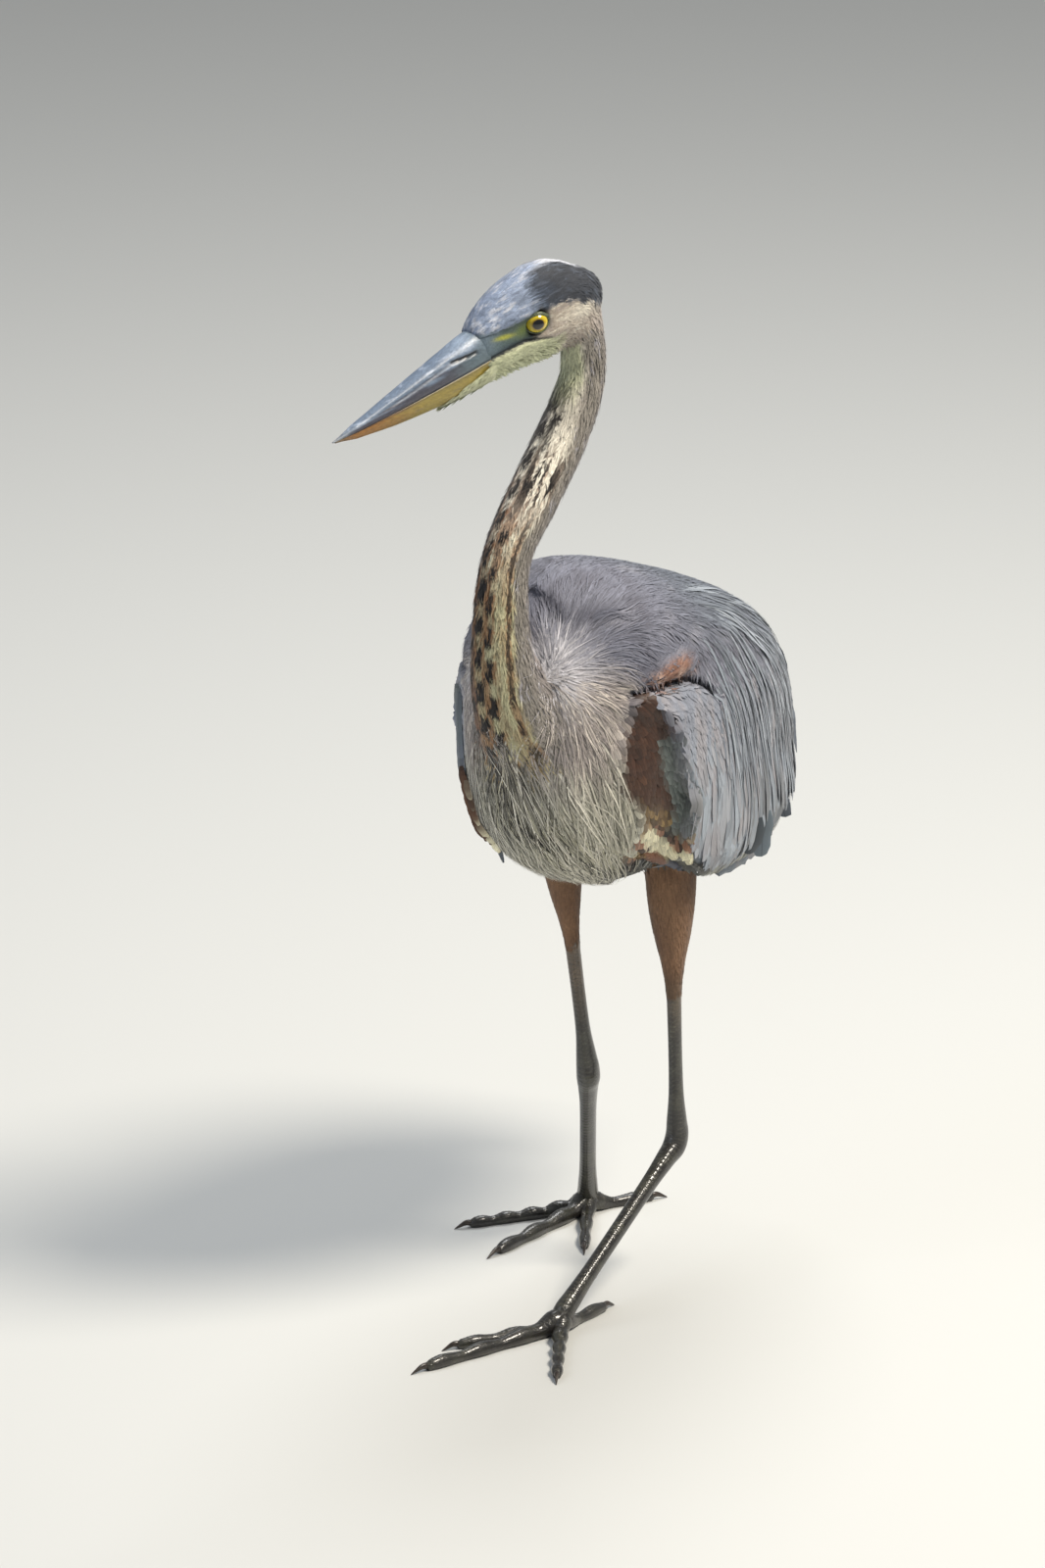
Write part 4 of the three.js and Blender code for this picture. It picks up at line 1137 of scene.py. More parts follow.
roots = scatter(onPanel & (fz <= 436), 5.6, 43)
growFeathers("WingCoverts", roots, "body", wingCoat["median"], 7.0, 1.2, 0.4, 0.5, steps=5, columns=2,
             seed=44, tipLight=0.15, vary=0.06, tilt=0.10, paint=vanePaint, spread=0.05, within=wingHeld,
             tip=0.35, cup=0.1)
roots = scatter(onPanel & (fz <= 424) & (fz > 338), 8.0, 45)
growFeathers("WingCoverts", roots, "body", wingCoat["greater"], 10.0, 1.0, 0.8, 0.8, steps=7, columns=4,
             seed=46, tipLight=0.15, vary=0.08, tilt=0.13, cup=0.14, point=0.72, tip=0.3, spread=0.04,
             curl=0.03, paint=vanePaint, drape=True, within=wingHeld)
finishCoat("WingCoverts", vanedFeather)

# long tapering scapular plumes that drape over the wing, and tertials over the root of the tail
backUp = faceNormal[:, 2]
highBack = isBody & (fy > -70) & (fy < 130) & (backUp > 0.08) & (backUp < 0.85) & (fz > 425)
roots = scatter(highBack, 8.6, 51)


def scapularPaint(p, n, lane):
    c = blend(even("scapular", p), tone["back"], ease(0.35, 0.85, lane) * 0.85)
    return blend(c, tone["panelPale"], (lane < 0.2) * 0.45)


def plumeHeld(p):
    return (p[:, 2] > np.interp(p[:, 1], lowEdge[:, 0], lowEdge[:, 1]) + 16) & (p[:, 1] < 206)


growFeathers("ScapularPlumes", roots, "body", wingCoat["scapular"], 4.0, 0.8, 1.2, 1.4, steps=9, columns=2,
             seed=52, tipLight=0.25, vary=0.12, tilt=0.1, point=0.25, tip=0.04, spread=0.07, curl=0.08,
             paint=scapularPaint, drape=True, within=plumeHeld)
rearBack = isBody & (fy > 70) & (faceNormal[:, 2] > -0.2) & (fz > 380)
roots = scatter(rearBack, 8.0, 59)
growFeathers("ScapularPlumes", roots, "body", 90, 7.5, 0.8, 1.0, 1.4, steps=9, columns=2, seed=60,
             tipLight=0.2, vary=0.1, tilt=0.1, point=0.5, tip=0.1, spread=0.06, curl=0.05,
             paint=scapularPaint, lie=drapeFlow, drape=True, within=plumeHeld)
finishCoat("ScapularPlumes", softFeather)

# secondaries at the back of the panel, and the slate primaries that show under its lower edge
rear = onPanel & (fy > -6) & (fz < 420) & (fz > 345)
roots = scatter(rear, 14, 53)


def secondaryPaint(p, n, lane):
    c = blend(even("secondary", p), tone["panel"], (lane < 0.5) * 0.7)
    return blend(c, tone["panelDark"], (lane > 0.8) * 0.6)


growFeathers("FlightFeathers", roots, "body", wingCoat["secondary"], 11, 1.0, 1.8, 1.0, steps=8, columns=4,
             seed=54, tipLight=0.15, vary=0.09, tilt=0.16, cup=0.15, point=0.8, tip=0.4, spread=0.05,
             paint=secondaryPaint, patch=0.006, drape=True, within=wingHeld)


def primaryPaint(p, n, lane):
    return blend(even("primary", p), tone["primaryPale"], lane < 0.3)


# root, tip and width of each placed feather
tips = [((87, 11, 350), (84, 16, 320), 13), ((89, 26, 350), (86, 31, 314), 15)]
placeFeathers("FlightFeathers", tips, primaryPaint, seed=56, lift=1.2, bow=1.2, tip=0.6, point=0.82,
              facing=(0.4, -1.2, 0.1))
primaries = [((84, 52, 366), (76, 56, 324), 14), ((81, 70, 366), (71, 76, 323), 14)]
placeFeathers("FlightFeathers", primaries, primaryPaint, seed=58, lift=0.3, bow=0.5, tip=0.6, point=0.82)
secondaries = [((75, 92, 366), (61, 102, 324), 13), ((67, 112, 362), (50, 126, 326), 12),
               ((57, 132, 360), (40, 146, 332), 11)]
placeFeathers("FlightFeathers", secondaries, secondaryPaint, seed=60, lift=0.2, bow=0.4, tip=0.5, point=0.8)
# the far wrist hangs lower than the near one: rows of slate coverts down its front
farCoat = {"rows": 13, "columns": 3, "width": 9.5, "reach": 0.80, "length": 0.20}


def wristSlate(p, n, lane):
    c = blend(even("panelDark", p), tone["underwingGrey"], (lane > 0.4) * 0.7)
    c = blend(c, tone["primaryPale"], (lane > 0.75) * 0.6)
    return blend(c, tone["primary"], ease(362, 346, p[:, 2]) * 0.8)


wristLine = np.array([[-71, -119, 462], [-68, -124, 436], [-62, -129, 408], [-54, -131, 380],
                      [-44, -133, 356], [-36, -132, 338]], float)
farWrist = []
for k in range(farCoat["rows"]):
    for m in range(farCoat["columns"]):
        along = farCoat["reach"] * (k + 0.33 * m) / farCoat["rows"]
        root = catmull(wristLine, np.array(along)) + [-1.5 + 2.6 * m, 3.0 - 2.6 * m, 0]
        end = catmull(wristLine, np.array(along + farCoat["length"])) + [-0.8 + 1.6 * m, 1.5 - 2.2 * m, 0]
        farWrist.append((root, end, farCoat["width"]))
placeFeathers("FlightFeathers", farWrist, wristSlate, seed=62, lift=3.0, bow=0.8, both=False, tip=0.35,
              point=0.6, tipLight=0.25, vary=0.12, facing=(0.1, -0.9, 0.1))
finishCoat("FlightFeathers", vanedFeather)


def wristPaint(p, n, lane):
    c = blend(even("chestnutEdge", p), tone["chestnut"], lane * 0.8)
    bar = np.abs(p[:, 0] + 49 + (p[:, 2] - 378) * 0.30)
    return blend(c, tone["carpal"], ease(5.5, 2.5, bar + 3 * lane) * 0.9)


wristCoat = {"rows": 6, "columns": 4, "width": 6.0, "fall": 14}
wristSpots = []
for k in range(wristCoat["rows"]):
    for m in range(wristCoat["columns"]):
        top = 408 - 8 * k - 2 * m
        root = (-61 + 3.8 * m + 2.0 * k, -135, top)
        end = (-57 + 3.8 * m + 2.2 * k, -138, top - wristCoat["fall"])
        wristSpots.append((root, end, wristCoat["width"]))
placeFeathers("WristFeathers", wristSpots, wristPaint, seed=64, lift=4.6, bow=0.6, both=False, steps=5,
              columns=2, tip=0.5, patch=0.003, tipLight=0.25, vary=0.12, facing=(0.6, -2.0, 0.3))
finishCoat("WristFeathers", softFeather)

# thighs: short close rufous feathers
thighCoat = {"spacing": 1.7, "length": 9, "width": 1.5}
roots = scatter(isThigh, thighCoat["spacing"], 47)
growFeathers("ThighFeathers", roots, "thigh", thighCoat["length"], thighCoat["width"], 1.0, 0.05, 0.2,
             steps=3, seed=48, vary=0.07, roll=0.05, spread=0.06, tipLight=0.12, drape=True)
finishCoat("ThighFeathers", softFeather)

# tail: short squared feathers, overlapping from the middle out
tailCoat = {"under": 13, "over": 12, "spacing": 5.0, "length": 26, "width": 8}
tailRows = [((x * 0.72, 172, 352), (x, 200, 287 - 0.10 * abs(x)), tailCoat["under"])
            for x in (-22, -13, -4, 4, 13, 21)]
placeFeathers("TailFeathers", tailRows, tailColour, seed=50, lift=0.5, bow=0.6, both=False, tip=0.7,
              point=0.85)
tailRows = [((x * 0.72, 184, 340), (x * 0.98, 204, 290), tailCoat["over"]) for x in (-17, -8, 1, 9, 17)]
placeFeathers("TailFeathers", tailRows, tailColour, seed=66, lift=1.2, bow=0.6, both=False, tip=0.7,
              point=0.85)
roots = scatter(isTail & (faceB[:, 2] > 315), tailCoat["spacing"], 49)
growFeathers("TailFeathers", roots, "tail", tailCoat["length"], tailCoat["width"], 1.2, 0.4, 0.5, steps=5,
             columns=2, seed=68, tip=0.4)
finishCoat("TailFeathers", vanedFeather)

# skin: the envelope sunk by the depth of the coat, in one piece with no seam
skinDepth = {"head": 0.9, "neck": 2.2, "trunk": 3.5, "thigh": 1.6, "wing": 2.5, "tail": 1.2}
skin = form
skin.name = skin.data.name = "Skin"
corner = np.zeros(len(skin.data.loops), np.int32)
skin.data.loops.foreach_get("vertex_index", corner)
starts = np.zeros(faceCount, np.int32)
skin.data.polygons.foreach_get("loop_start", starts)
kindOf = np.array(["head" if n == "head" else "neck" if n.startswith("neck") else "thigh"
                   if n.startswith("thigh") else "tail" if n == "tail" else "trunk"
                   if n.startswith(("trunk", "scapulars")) else "wing" for n in coatNodes])
depthSum, depthCount = np.zeros(len(formCo)), np.zeros(len(formCo))
depthOfFace = np.array([skinDepth[k] for k in kindOf[faceLabel]])
for k in range(3):
    np.add.at(depthSum, corner[starts + k], depthOfFace)
    np.add.at(depthCount, corner[starts + k], 1)
vertKind = np.zeros(len(formCo), kindOf.dtype)
vertKind[:] = "trunk"
for k in range(3):
    vertKind[corner[starts + k]] = kindOf[faceLabel]
depthAt = depthSum / np.maximum(depthCount, 1)
co = vertsOf(skin)
no = np.zeros(len(co) * 3, np.float32)
skin.data.vertices.foreach_get("normal", no)
no = no.reshape(-1, 3)
skinTint = np.zeros((len(co), 3))
half = np.full(len(co), 0.5)
for kind in skinDepth:
    at = vertKind == kind
    zone = kind if kind in paints else "body"
    skinTint[at] = paints[zone](bird(co[at]), no[at], half[at])
# bare skin shows only on the head; under the coat the skin carries the coat's markings darkened, as painted
# shade in the gaps between the feathers
skinTint = skinTint * np.where(vertKind == "head", 0.95, 0.68)[:, None]
skin.data.vertices.foreach_set("co", (co - no * (depthAt * mm)[:, None]).astype(np.float32).ravel())
skin.data.update()
attribute = skin.data.color_attributes.new(name="tint", type="FLOAT_COLOR", domain="POINT")
rgba = np.ones((len(co), 4), np.float32)
rgba[:, :3] = skinTint
attribute.data.foreach_set("color", rgba.ravel())
skin.data.polygons.foreach_set("use_smooth", np.ones(faceCount, bool))
# bird skin: soft and slightly moist, finely wrinkled about every 0.8 mm on the bare lores
birdSkin, tree, shader = newMaterial("bareBirdSkin", Roughness=0.5, IOR=1.4, Specular_IOR_Level=0.4)
place = addNode(tree, "ShaderNodeTexCoord")
wrinkle = addNode(tree, "ShaderNodeTexNoise", {"Vector": place.outputs["Object"]},
                  {"Scale": 900.0, "Detail": 4.0})
mottle = addNode(tree, "ShaderNodeMapRange", {"Value": wrinkle.outputs["Fac"]},
                 {"From Min": 0.3, "From Max": 0.7, "To Min": 0.75, "To Max": 1.2})
tintTimes(tree, shader, mottle.outputs["Result"])
relief = addNode(tree, "ShaderNodeBump", {"Height": wrinkle.outputs["Fac"]},
                 {"Strength": 0.5, "Distance": 0.0004})
tree.links.new(relief.outputs["Normal"], shader.inputs["Normal"])
skin.data.materials.clear()
skin.data.materials.append(birdSkin)
# under the coat the skin needs fewer faces than on the bare parts of the head
covered = skin.vertex_groups.new(name="covered")
covered.add(np.nonzero(vertKind != "head")[0].tolist(), 1.0, "REPLACE")
applyModifier(skin, "DECIMATE", ratio=0.68, vertex_group="covered")
skin.vertex_groups.clear()
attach(skin, "root")
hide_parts(*coatNodes)
print("skin", len(skin.data.polygons))


# horn, scales and eyes
def tube(rings, caps=True):
    # closed rings of points, all with the same count, joined into one skin with faces outwards
    rings = np.asarray(rings, float)
    count, around = rings.shape[:2]
    verts = rings.reshape(-1, 3)
    faces = [[i * around + j, i * around + (j + 1) % around, (i + 1) * around + (j + 1) % around,
              (i + 1) * around + j] for i in range(count - 1) for j in range(around)]
    if caps:
        verts = np.vstack([verts, rings[0].mean(0), rings[-1].mean(0)])
        first, last = count * around, count * around + 1
        faces += [[first, (j + 1) % around, j] for j in range(around)]
        faces += [[last, (count - 1) * around + j, (count - 1) * around + (j + 1) % around]
                  for j in range(around)]
    return verts, faces


def joinParts(parts):
    verts, faces, start = [], [], 0
    for v, f in parts:
        verts.append(v)
        faces += [[i + start for i in face] for face in f]
        start += len(v)
    return np.vstack(verts), faces


def outwards(obj):
    bm = bmesh.new()
    bm.from_mesh(obj.data)
    bmesh.ops.remove_doubles(bm, verts=bm.verts, dist=1e-7)
    bmesh.ops.recalc_face_normals(bm, faces=bm.faces)
    bm.to_mesh(obj.data)
    bm.free()


billValues = {"groove": 0.9, "nostril": (52, 76), "rings": 150, "around": 44}


def grooveHeight(f):
    return np.interp(f, [50, 76, 110, 150], [-6.0, -4.2, -9.0, -13.6])


def makeBill(name, upper, replaced):
    rings, tints = [], []
    local = np.random.default_rng(5)
    for f in np.linspace(43, 182 if upper else 180, billValues["rings"]):
        # the root of the bill starts a little inside the skin
        root = 0.92 + 0.08 * ease(43, 66, f)
        middle, w, rise, drop = smoothSection(np.array(f)) * np.array([1, root, root, root])
        gape = float(np.interp(f, [43, 96, 182], [-16.2, -16.8, -16.7]))
        cut = math.asin(np.clip((gape - middle) / drop, -0.98, 0.5))
        around = billValues["around"]
        ring, colour = [], []
        if upper:
            angles = np.linspace(cut, math.pi - cut, around - 8)
        else:
            angles = np.linspace(math.pi - cut + 0.02, 2 * math.pi + cut - 0.02, around - 8)
        for a in angles:
            r = rise if math.sin(a) > 0 else drop
            x = w * np.sign(math.cos(a)) * abs(math.cos(a)) ** (0.92 if upper else 0.8)
            u = middle + r * math.sin(a)
            if upper:
                near = math.exp(-((u - grooveHeight(f)) / 1.5) ** 2) * ease(48, 56, f) * ease(158, 120, f)
                x -= np.sign(x) * billValues["groove"] * near * min(abs(x) / 4, 1)
                slot = math.exp(-((u - grooveHeight(f)) / 0.9) ** 2) * ease(51, 54, f) * ease(77, 73, f)
                x -= np.sign(x) * 1.5 * slot * min(abs(x) / 4, 1)
                x += np.sign(x) * 0.35 * math.exp(-((u - gape - 1.0) / 1.2) ** 2) * ease(184, 150, f)
            else:
                x -= np.sign(x) * 0.45 * math.exp(-((u - gape) / 1.5) ** 2) * ease(184, 150, f)
                slot = 0
            ring.append(headPoint(f, x, u))
            above = (u - gape) / max(rise + middle - gape, 0.5)
            below = (gape - u) / max(drop + gape - middle, 0.5)
            level = above if upper else below
            streak = noise3(np.array([[f / 16.0, u * 0.9, x * 0.3]]), 4)[0] - 0.5
            if upper:
                # the upper side of the upper bill, and its top near the root, paler than the sides: partly
                # the horn's own blue-grey, partly painted light on the upward-facing top
                ridge = ease(0.34, 0.62, level + 0.35 * streak)
                c = billTone["slate"] * (1 - ridge) + billTone["culmen"] * ridge
                pale = ease(0.12, 0.34, streak) * ease(0.4, 0.7, level)
                c = c * (1 - pale) + billTone["culmenPale"] * pale
                low = ease(84, 56, f) * ease(0.62, 0.4, level)
                c = c * (1 - low) + billTone["base"] * low
                end = ease(160, 182, f)
                c = c * (1 - end) + billTone["tip"] * end
                nearRoot = ease(60, 47, f + 6 * streak)
                c = c * (1 - nearRoot) + joinColour(u) * nearRoot
                top = ease(78, 56, f + 14 * streak) * ease(0.55, 0.8, level) * (1 - 0.7 * nearRoot)
                c = c * (1 - top) + billTone["joinPale"] * top
                inGroove = math.exp(-((u - grooveHeight(f)) / 0.8) ** 2) * 0.55 * ease(50, 60, f)
                dark = min(slot * 1.4 + inGroove * ease(150, 100, f), 1)
                c = c * (1 - dark) + billTone["nostril"] * dark
            else:
                base = ease(150, 100, f + 20 * streak)
                c = billTone["orange"] * (1 - base) + billTone["yellow"] * base
                # darker next to the cutting edge as painted shade under the overhanging upper bill, plus
                # random dark streaks
                gapeShadeAndStreaks = ease(0.30, 0.0, level) * 0.5 + ease(0.2, 0.4, streak) * 0.35
                c = c * (1 - gapeShadeAndStreaks) + billTone["slate"] * gapeShadeAndStreaks
                rim = ease(0.75, 1.0, level) * ease(170, 140, f) * 0.7
                c = c * (1 - rim) + billTone["rim"] * rim
                end = ease(166, 181, f)
                c = c * (1 - end) + billTone["lowTip"] * end
            colour.append(c)
        # inside of the mouth, a shallow trough between the two cutting edges, coloured as the orange darkened
        # to half for painted shade inside the closed gape
        first, last = ring[-1], ring[0]
        for k in range(1, 9):
            t = k / 9
            dip = math.sin(math.pi * t) * min(w * 0.12, 1.0) * (1 if upper else -1)
            ring.append(first * (1 - t) + last * t + headUp * dip)
            colour.append(billTone["orange"] * 0.5)
        rings.append(ring)
        tints.append(colour)
    rings, tints = np.array(rings), np.array(tints)
    verts, faces = tube(world(rings))
    tintAll = np.vstack([tints.reshape(-1, 3), tints[0].mean(0), tints[-1].mean(0)])
    obj = makeObject(name, verts, faces, None, {"tint": tintAll})
    bm = bmesh.new()
    bm.from_mesh(obj.data)
    bmesh.ops.recalc_face_normals(bm, faces=bm.faces)
    bm.to_mesh(obj.data)
    bm.free()
    obj.data.materials.append(horn)
    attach(obj, "root")
    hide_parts(replaced)
    print(name, len(faces))


# bill horn: dense keratin, satin, worn in fine streaks along its length and pitted with small scuffs
horn, tree, shader = newMaterial("billHorn", Roughness=0.36, IOR=1.55, Specular_IOR_Level=0.5)
place = addNode(tree, "ShaderNodeTexCoord")
turned = addNode(tree, "ShaderNodeMapping", {"Vector": place.outputs["Object"]}, vector_type="POINT")
turned.inputs["Rotation"].default_value = (math.radians(-15), 0, math.radians(20))
turned.inputs["Scale"].default_value = (1.0, 0.10, 1.0)
streaks = addNode(tree, "ShaderNodeTexNoise", {"Vector": turned.outputs["Vector"]},
                  {"Scale": 700.0, "Detail": 4.0, "Roughness": 0.6})
tone1 = addNode(tree, "ShaderNodeMapRange", {"Value": streaks.outputs["Fac"]},
                {"From Min": 0.3, "From Max": 0.7, "To Min": 0.72, "To Max": 1.22})
tintTimes(tree, shader, tone1.outputs["Result"])
pits = addNode(tree, "ShaderNodeTexNoise", {"Vector": place.outputs["Object"]},
               {"Scale": 1400.0, "Detail": 3.0})
rough = addNode(tree, "ShaderNodeMapRange", {"Value": pits.outputs["Fac"]},
                {"From Min": 0.3, "From Max": 0.7, "To Min": 0.28, "To Max": 0.5})
tree.links.new(rough.outputs["Result"], shader.inputs["Roughness"])
relief = addNode(tree, "ShaderNodeBump", {"Height": streaks.outputs["Fac"]},
                 {"Strength": 0.35, "Distance": 0.0003})
tree.links.new(relief.outputs["Normal"], shader.inputs["Normal"])
makeBill("BillUpper", True, "bill_upper")
makeBill("BillLower", False, "bill_lower")

# eyes: a wet cornea over a yellow iris with a dark rim, in a ring of bare skin
eyeValues = {"radius": 9.5, "iris": 7.6, "pupil": 3.6, "turnAhead": 26, "turnDown": -4, "lid": 0.75}
lidRing = {"around": 56, "section": 12}
eyeball, tree, shader = newMaterial("wetEye", Roughness=0.12, IOR=1.376, Coat_Weight=1.0, Coat_Roughness=0.02)
ring = addNode(tree, "ShaderNodeAttribute", attribute_name="ring")
ramp = addNode(tree, "ShaderNodeValToRGB", {"Fac": ring.outputs["Fac"]})
stops = [(0.0, "050505"), (0.44, "070605"), (0.47, "2c1c08"), (0.53, "8f7616"), (0.66, "c0a822"),
         (0.86, "cdb930"), (0.93, "7c6c1c"), (0.97, "1c1a10"), (1.0, "121210")]
while len(ramp.color_ramp.elements) < len(stops):
    ramp.color_ramp.elements.new(0.5)
for element, (at, colour) in zip(ramp.color_ramp.elements, stops):
    element.position = at
    element.color = (*hexColour(colour), 1)
tree.links.new(ramp.outputs["Color"], shader.inputs["Base Color"])
lidSkin, tree, shader = newMaterial("lidSkin", Roughness=0.42, IOR=1.4)
place = addNode(tree, "ShaderNodeTexCoord")
wrinkle = addNode(tree, "ShaderNodeTexNoise", {"Vector": place.outputs["Object"]},
                  {"Scale": 1200.0, "Detail": 3.0})
mixed = addNode(tree, "ShaderNodeValToRGB", {"Fac": wrinkle.outputs["Fac"]})
mixed.color_ramp.elements[0].position, mixed.color_ramp.elements[0].color = 0.35, (*hexColour("2c312c"), 1)
mixed.color_ramp.elements[1].position, mixed.color_ramp.elements[1].color = 0.7, (*hexColour("707a5c"), 1)
tree.links.new(mixed.outputs["Color"], shader.inputs["Base Color"])
for sideName, sign in (("left", 1), ("right", -1)):
    centre = headPoint(0, 12.6 * sign, -6)
    ahead, down = math.radians(eyeValues["turnAhead"]), math.radians(eyeValues["turnDown"])
    axis = unit(headLeft * sign * math.cos(ahead) + headAhead * math.sin(ahead) - headUp * math.sin(down))
    across = unit(np.cross(axis, headUp))
    above = np.cross(across, axis) * -1
    above = above if above @ headUp > 0 else -above
    deselectAll()
    bpy.ops.mesh.primitive_uv_sphere_add(segments=48, ring_count=40, radius=eyeValues["radius"] * mm)
    eye = bpy.context.object
    v = vertsOf(eye) / mm
    r = np.hypot(v[:, 0] / 1.05, v[:, 1] / 0.92)
    irisEdge = eyeValues["iris"]
    front = v[:, 2] > 0
    # the cornea bulges a little in front of the iris
    v[:, 2] += np.where(front, 0.8 * np.clip(1 - (r / irisEdge) ** 2, 0, 1), 0)
    ringValue = np.where(front, np.clip(r / irisEdge * 0.97, 0, 1), 1.0)
    placed = centre + v[:, 0:1] * across + v[:, 1:2] * above + v[:, 2:3] * axis
    eye.data.vertices.foreach_set("co", world(placed).astype(np.float32).ravel())
    attribute = eye.data.attributes.new("ring", "FLOAT", "POINT")
    attribute.data.foreach_set("value", ringValue.astype(np.float32))
    eye.name = eye.data.name = f"Eye_{sideName}"
    outwards(eye)
    eye.data.polygons.foreach_set("use_smooth", np.ones(len(eye.data.polygons), bool))
    eye.data.materials.append(eyeball)
    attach(eye, "root")
    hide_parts(f"eye_{sideName}")
    # lids: a soft ring, a little pointed in front and behind
    around, section = lidRing["around"], lidRing["section"]
    rings = []
    for k in range(around):
        a = 2 * math.pi * k / around
        pointed = 1 + 0.05 * abs(math.cos(a)) ** 6
        rx, ry = 8.1 * pointed, 6.5
        base = np.array([rx * math.cos(a), ry * math.sin(a)])
        rr = np.linalg.norm(base)
        height = math.sqrt(max(eyeValues["radius"] ** 2 - rr ** 2, 0)) + 0.25
        loop = []
        for j in range(section):
            t = 2 * math.pi * j / section
            thick = eyeValues["lid"] * (1.25 + 0.5 * math.sin(a))
            out, lift = math.cos(t) * thick, math.sin(t) * thick * 0.8
            q = base * (1 + (out + 0.5) / rr)
            loop.append(centre + q[0] * across + q[1] * above + (height + lift - 0.42 * (out + 0.5)) * axis)
        rings.append(loop)
    rings = np.array(rings)
    verts = world(rings.reshape(-1, 3))
    faces = []
    for i in range(around):
        here, onward = i * section, (i + 1) % around * section
        for j in range(section):
            beside = (j + 1) % section
            faces.append([here + j, here + beside, onward + beside, onward + j])
    lid = makeObject(f"Lids_{sideName}", verts, faces)
    outwards(lid)
    lid.data.materials.append(lidSkin)
    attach(lid, "root")
print("eyes")

# legs: bare, wet and scaled
legValues = {"scute": 3.8, "scuteRise": 0.45, "toeScute": 2.7, "toeWidth": 5.8}
# leg scales: tough wet skin, near black with olive edges, glossy where water lies on it
wetScale, tree, shader = newMaterial("wetLegScale", Roughness=0.3, IOR=1.45, Coat_Weight=0.6,
                                     Coat_Roughness=0.1)
place = addNode(tree, "ShaderNodeTexCoord")
cells = addNode(tree, "ShaderNodeTexVoronoi", {"Vector": place.outputs["Object"]}, {"Scale": 480.0},
                feature="DISTANCE_TO_EDGE")
edge = addNode(tree, "ShaderNodeMapRange", {"Value": cells.outputs["Distance"]},
               {"From Min": 0.0, "From Max": 0.18, "To Min": 0.6, "To Max": 1.0})
stain = addNode(tree, "ShaderNodeTexNoise", {"Vector": place.outputs["Object"]},
                {"Scale": 110.0, "Detail": 5.0})
dirt = addNode(tree, "ShaderNodeMapRange", {"Value": stain.outputs["Fac"]},
               {"From Min": 0.3, "From Max": 0.7, "To Min": 0.75, "To Max": 1.25})
factor = addNode(tree, "ShaderNodeMath", {0: edge.outputs["Result"], 1: dirt.outputs["Result"]},
                 operation="MULTIPLY")
tintTimes(tree, shader, factor.outputs["Value"])
relief = addNode(tree, "ShaderNodeBump", {"Height": edge.outputs["Result"]},
                 {"Strength": 0.5, "Distance": 0.0006})
tree.links.new(relief.outputs["Normal"], shader.inputs["Normal"])
legTone = {k: hexColour(v) for k, v in {"dark": "2b2926", "olive": "3c3b33", "pale": "6d6b5c",
                                        "shin": "6a5846"}.items()}


def legTube(path, sizes, around, floor=None, scute=3.8, rise=0.45, topSide=None):
    # path points and half sizes (across, front, back) along a leg or toe,
    # with overlapping plates on its front
    path, sizes = np.asarray(path, float), np.asarray(sizes, float)
    along = np.concatenate([[0], np.cumsum(np.linalg.norm(np.diff(path, axis=0), axis=1))])
    count = max(int(along[-1] / 0.95), 8)
    at = np.linspace(0, along[-1], count)
    key = np.interp(at, along, np.linspace(0, 1, len(path)))
    centre, size = catmull(path, key), catmull(sizes, key)
    way = unit(np.gradient(centre, axis=0))
    front = np.asarray(topSide, float)
    rings, tints = [], []
    for i in range(count):
        f = unit(front - (front @ way[i]) * way[i])
        s = np.cross(f, way[i])
        a = np.arange(around) * 2 * math.pi / around
        forward = np.sin(a)
        plate = (at[i] / scute + 0.10 * np.sin(a * 3)) % 1
        step = rise * (1 - plate) * ease(0.1, 0.7, forward) * ease(0, 6, at[i])
        back = 0.25 * (1 - (at[i] / (scute * 0.6)) % 1) * ease(-0.1, -0.7, forward)
        depth = np.where(forward > 0, size[i, 1], size[i, 2])
        sideways = s * (np.cos(a) * size[i, 0])[:, None]
        ring = centre[i] + sideways + f * (forward * (depth + step + back))[:, None]
        rings.append(ring)
        shade = noise3(ring / 7.0, 2)
        c = blend(np.tile(legTone["dark"], (around, 1)), legTone["olive"], ease(0.35, 0.8, shade))
        c = blend(c, legTone["shin"], ease(175, 235, ring[:, 2]) * (0.5 + 0.4 * shade))
        c = blend(c, legTone["pale"], ease(0.75, 1.0, plate) * ease(0.2, 0.8, forward) * 0.35)
        tints.append(c * (1 - 0.45 * ease(0.12, 0.0, plate) * ease(0.1, 0.6, forward))[:, None])
    rings = np.array(rings)
    if floor is not None:
        rings[..., 2] = np.maximum(rings[..., 2], floor)
    verts, faces = tube(world(rings))
    tints = np.array(tints)
    return verts, faces, np.vstack([tints.reshape(-1, 3), tints[0].mean(0), tints[-1].mean(0)])


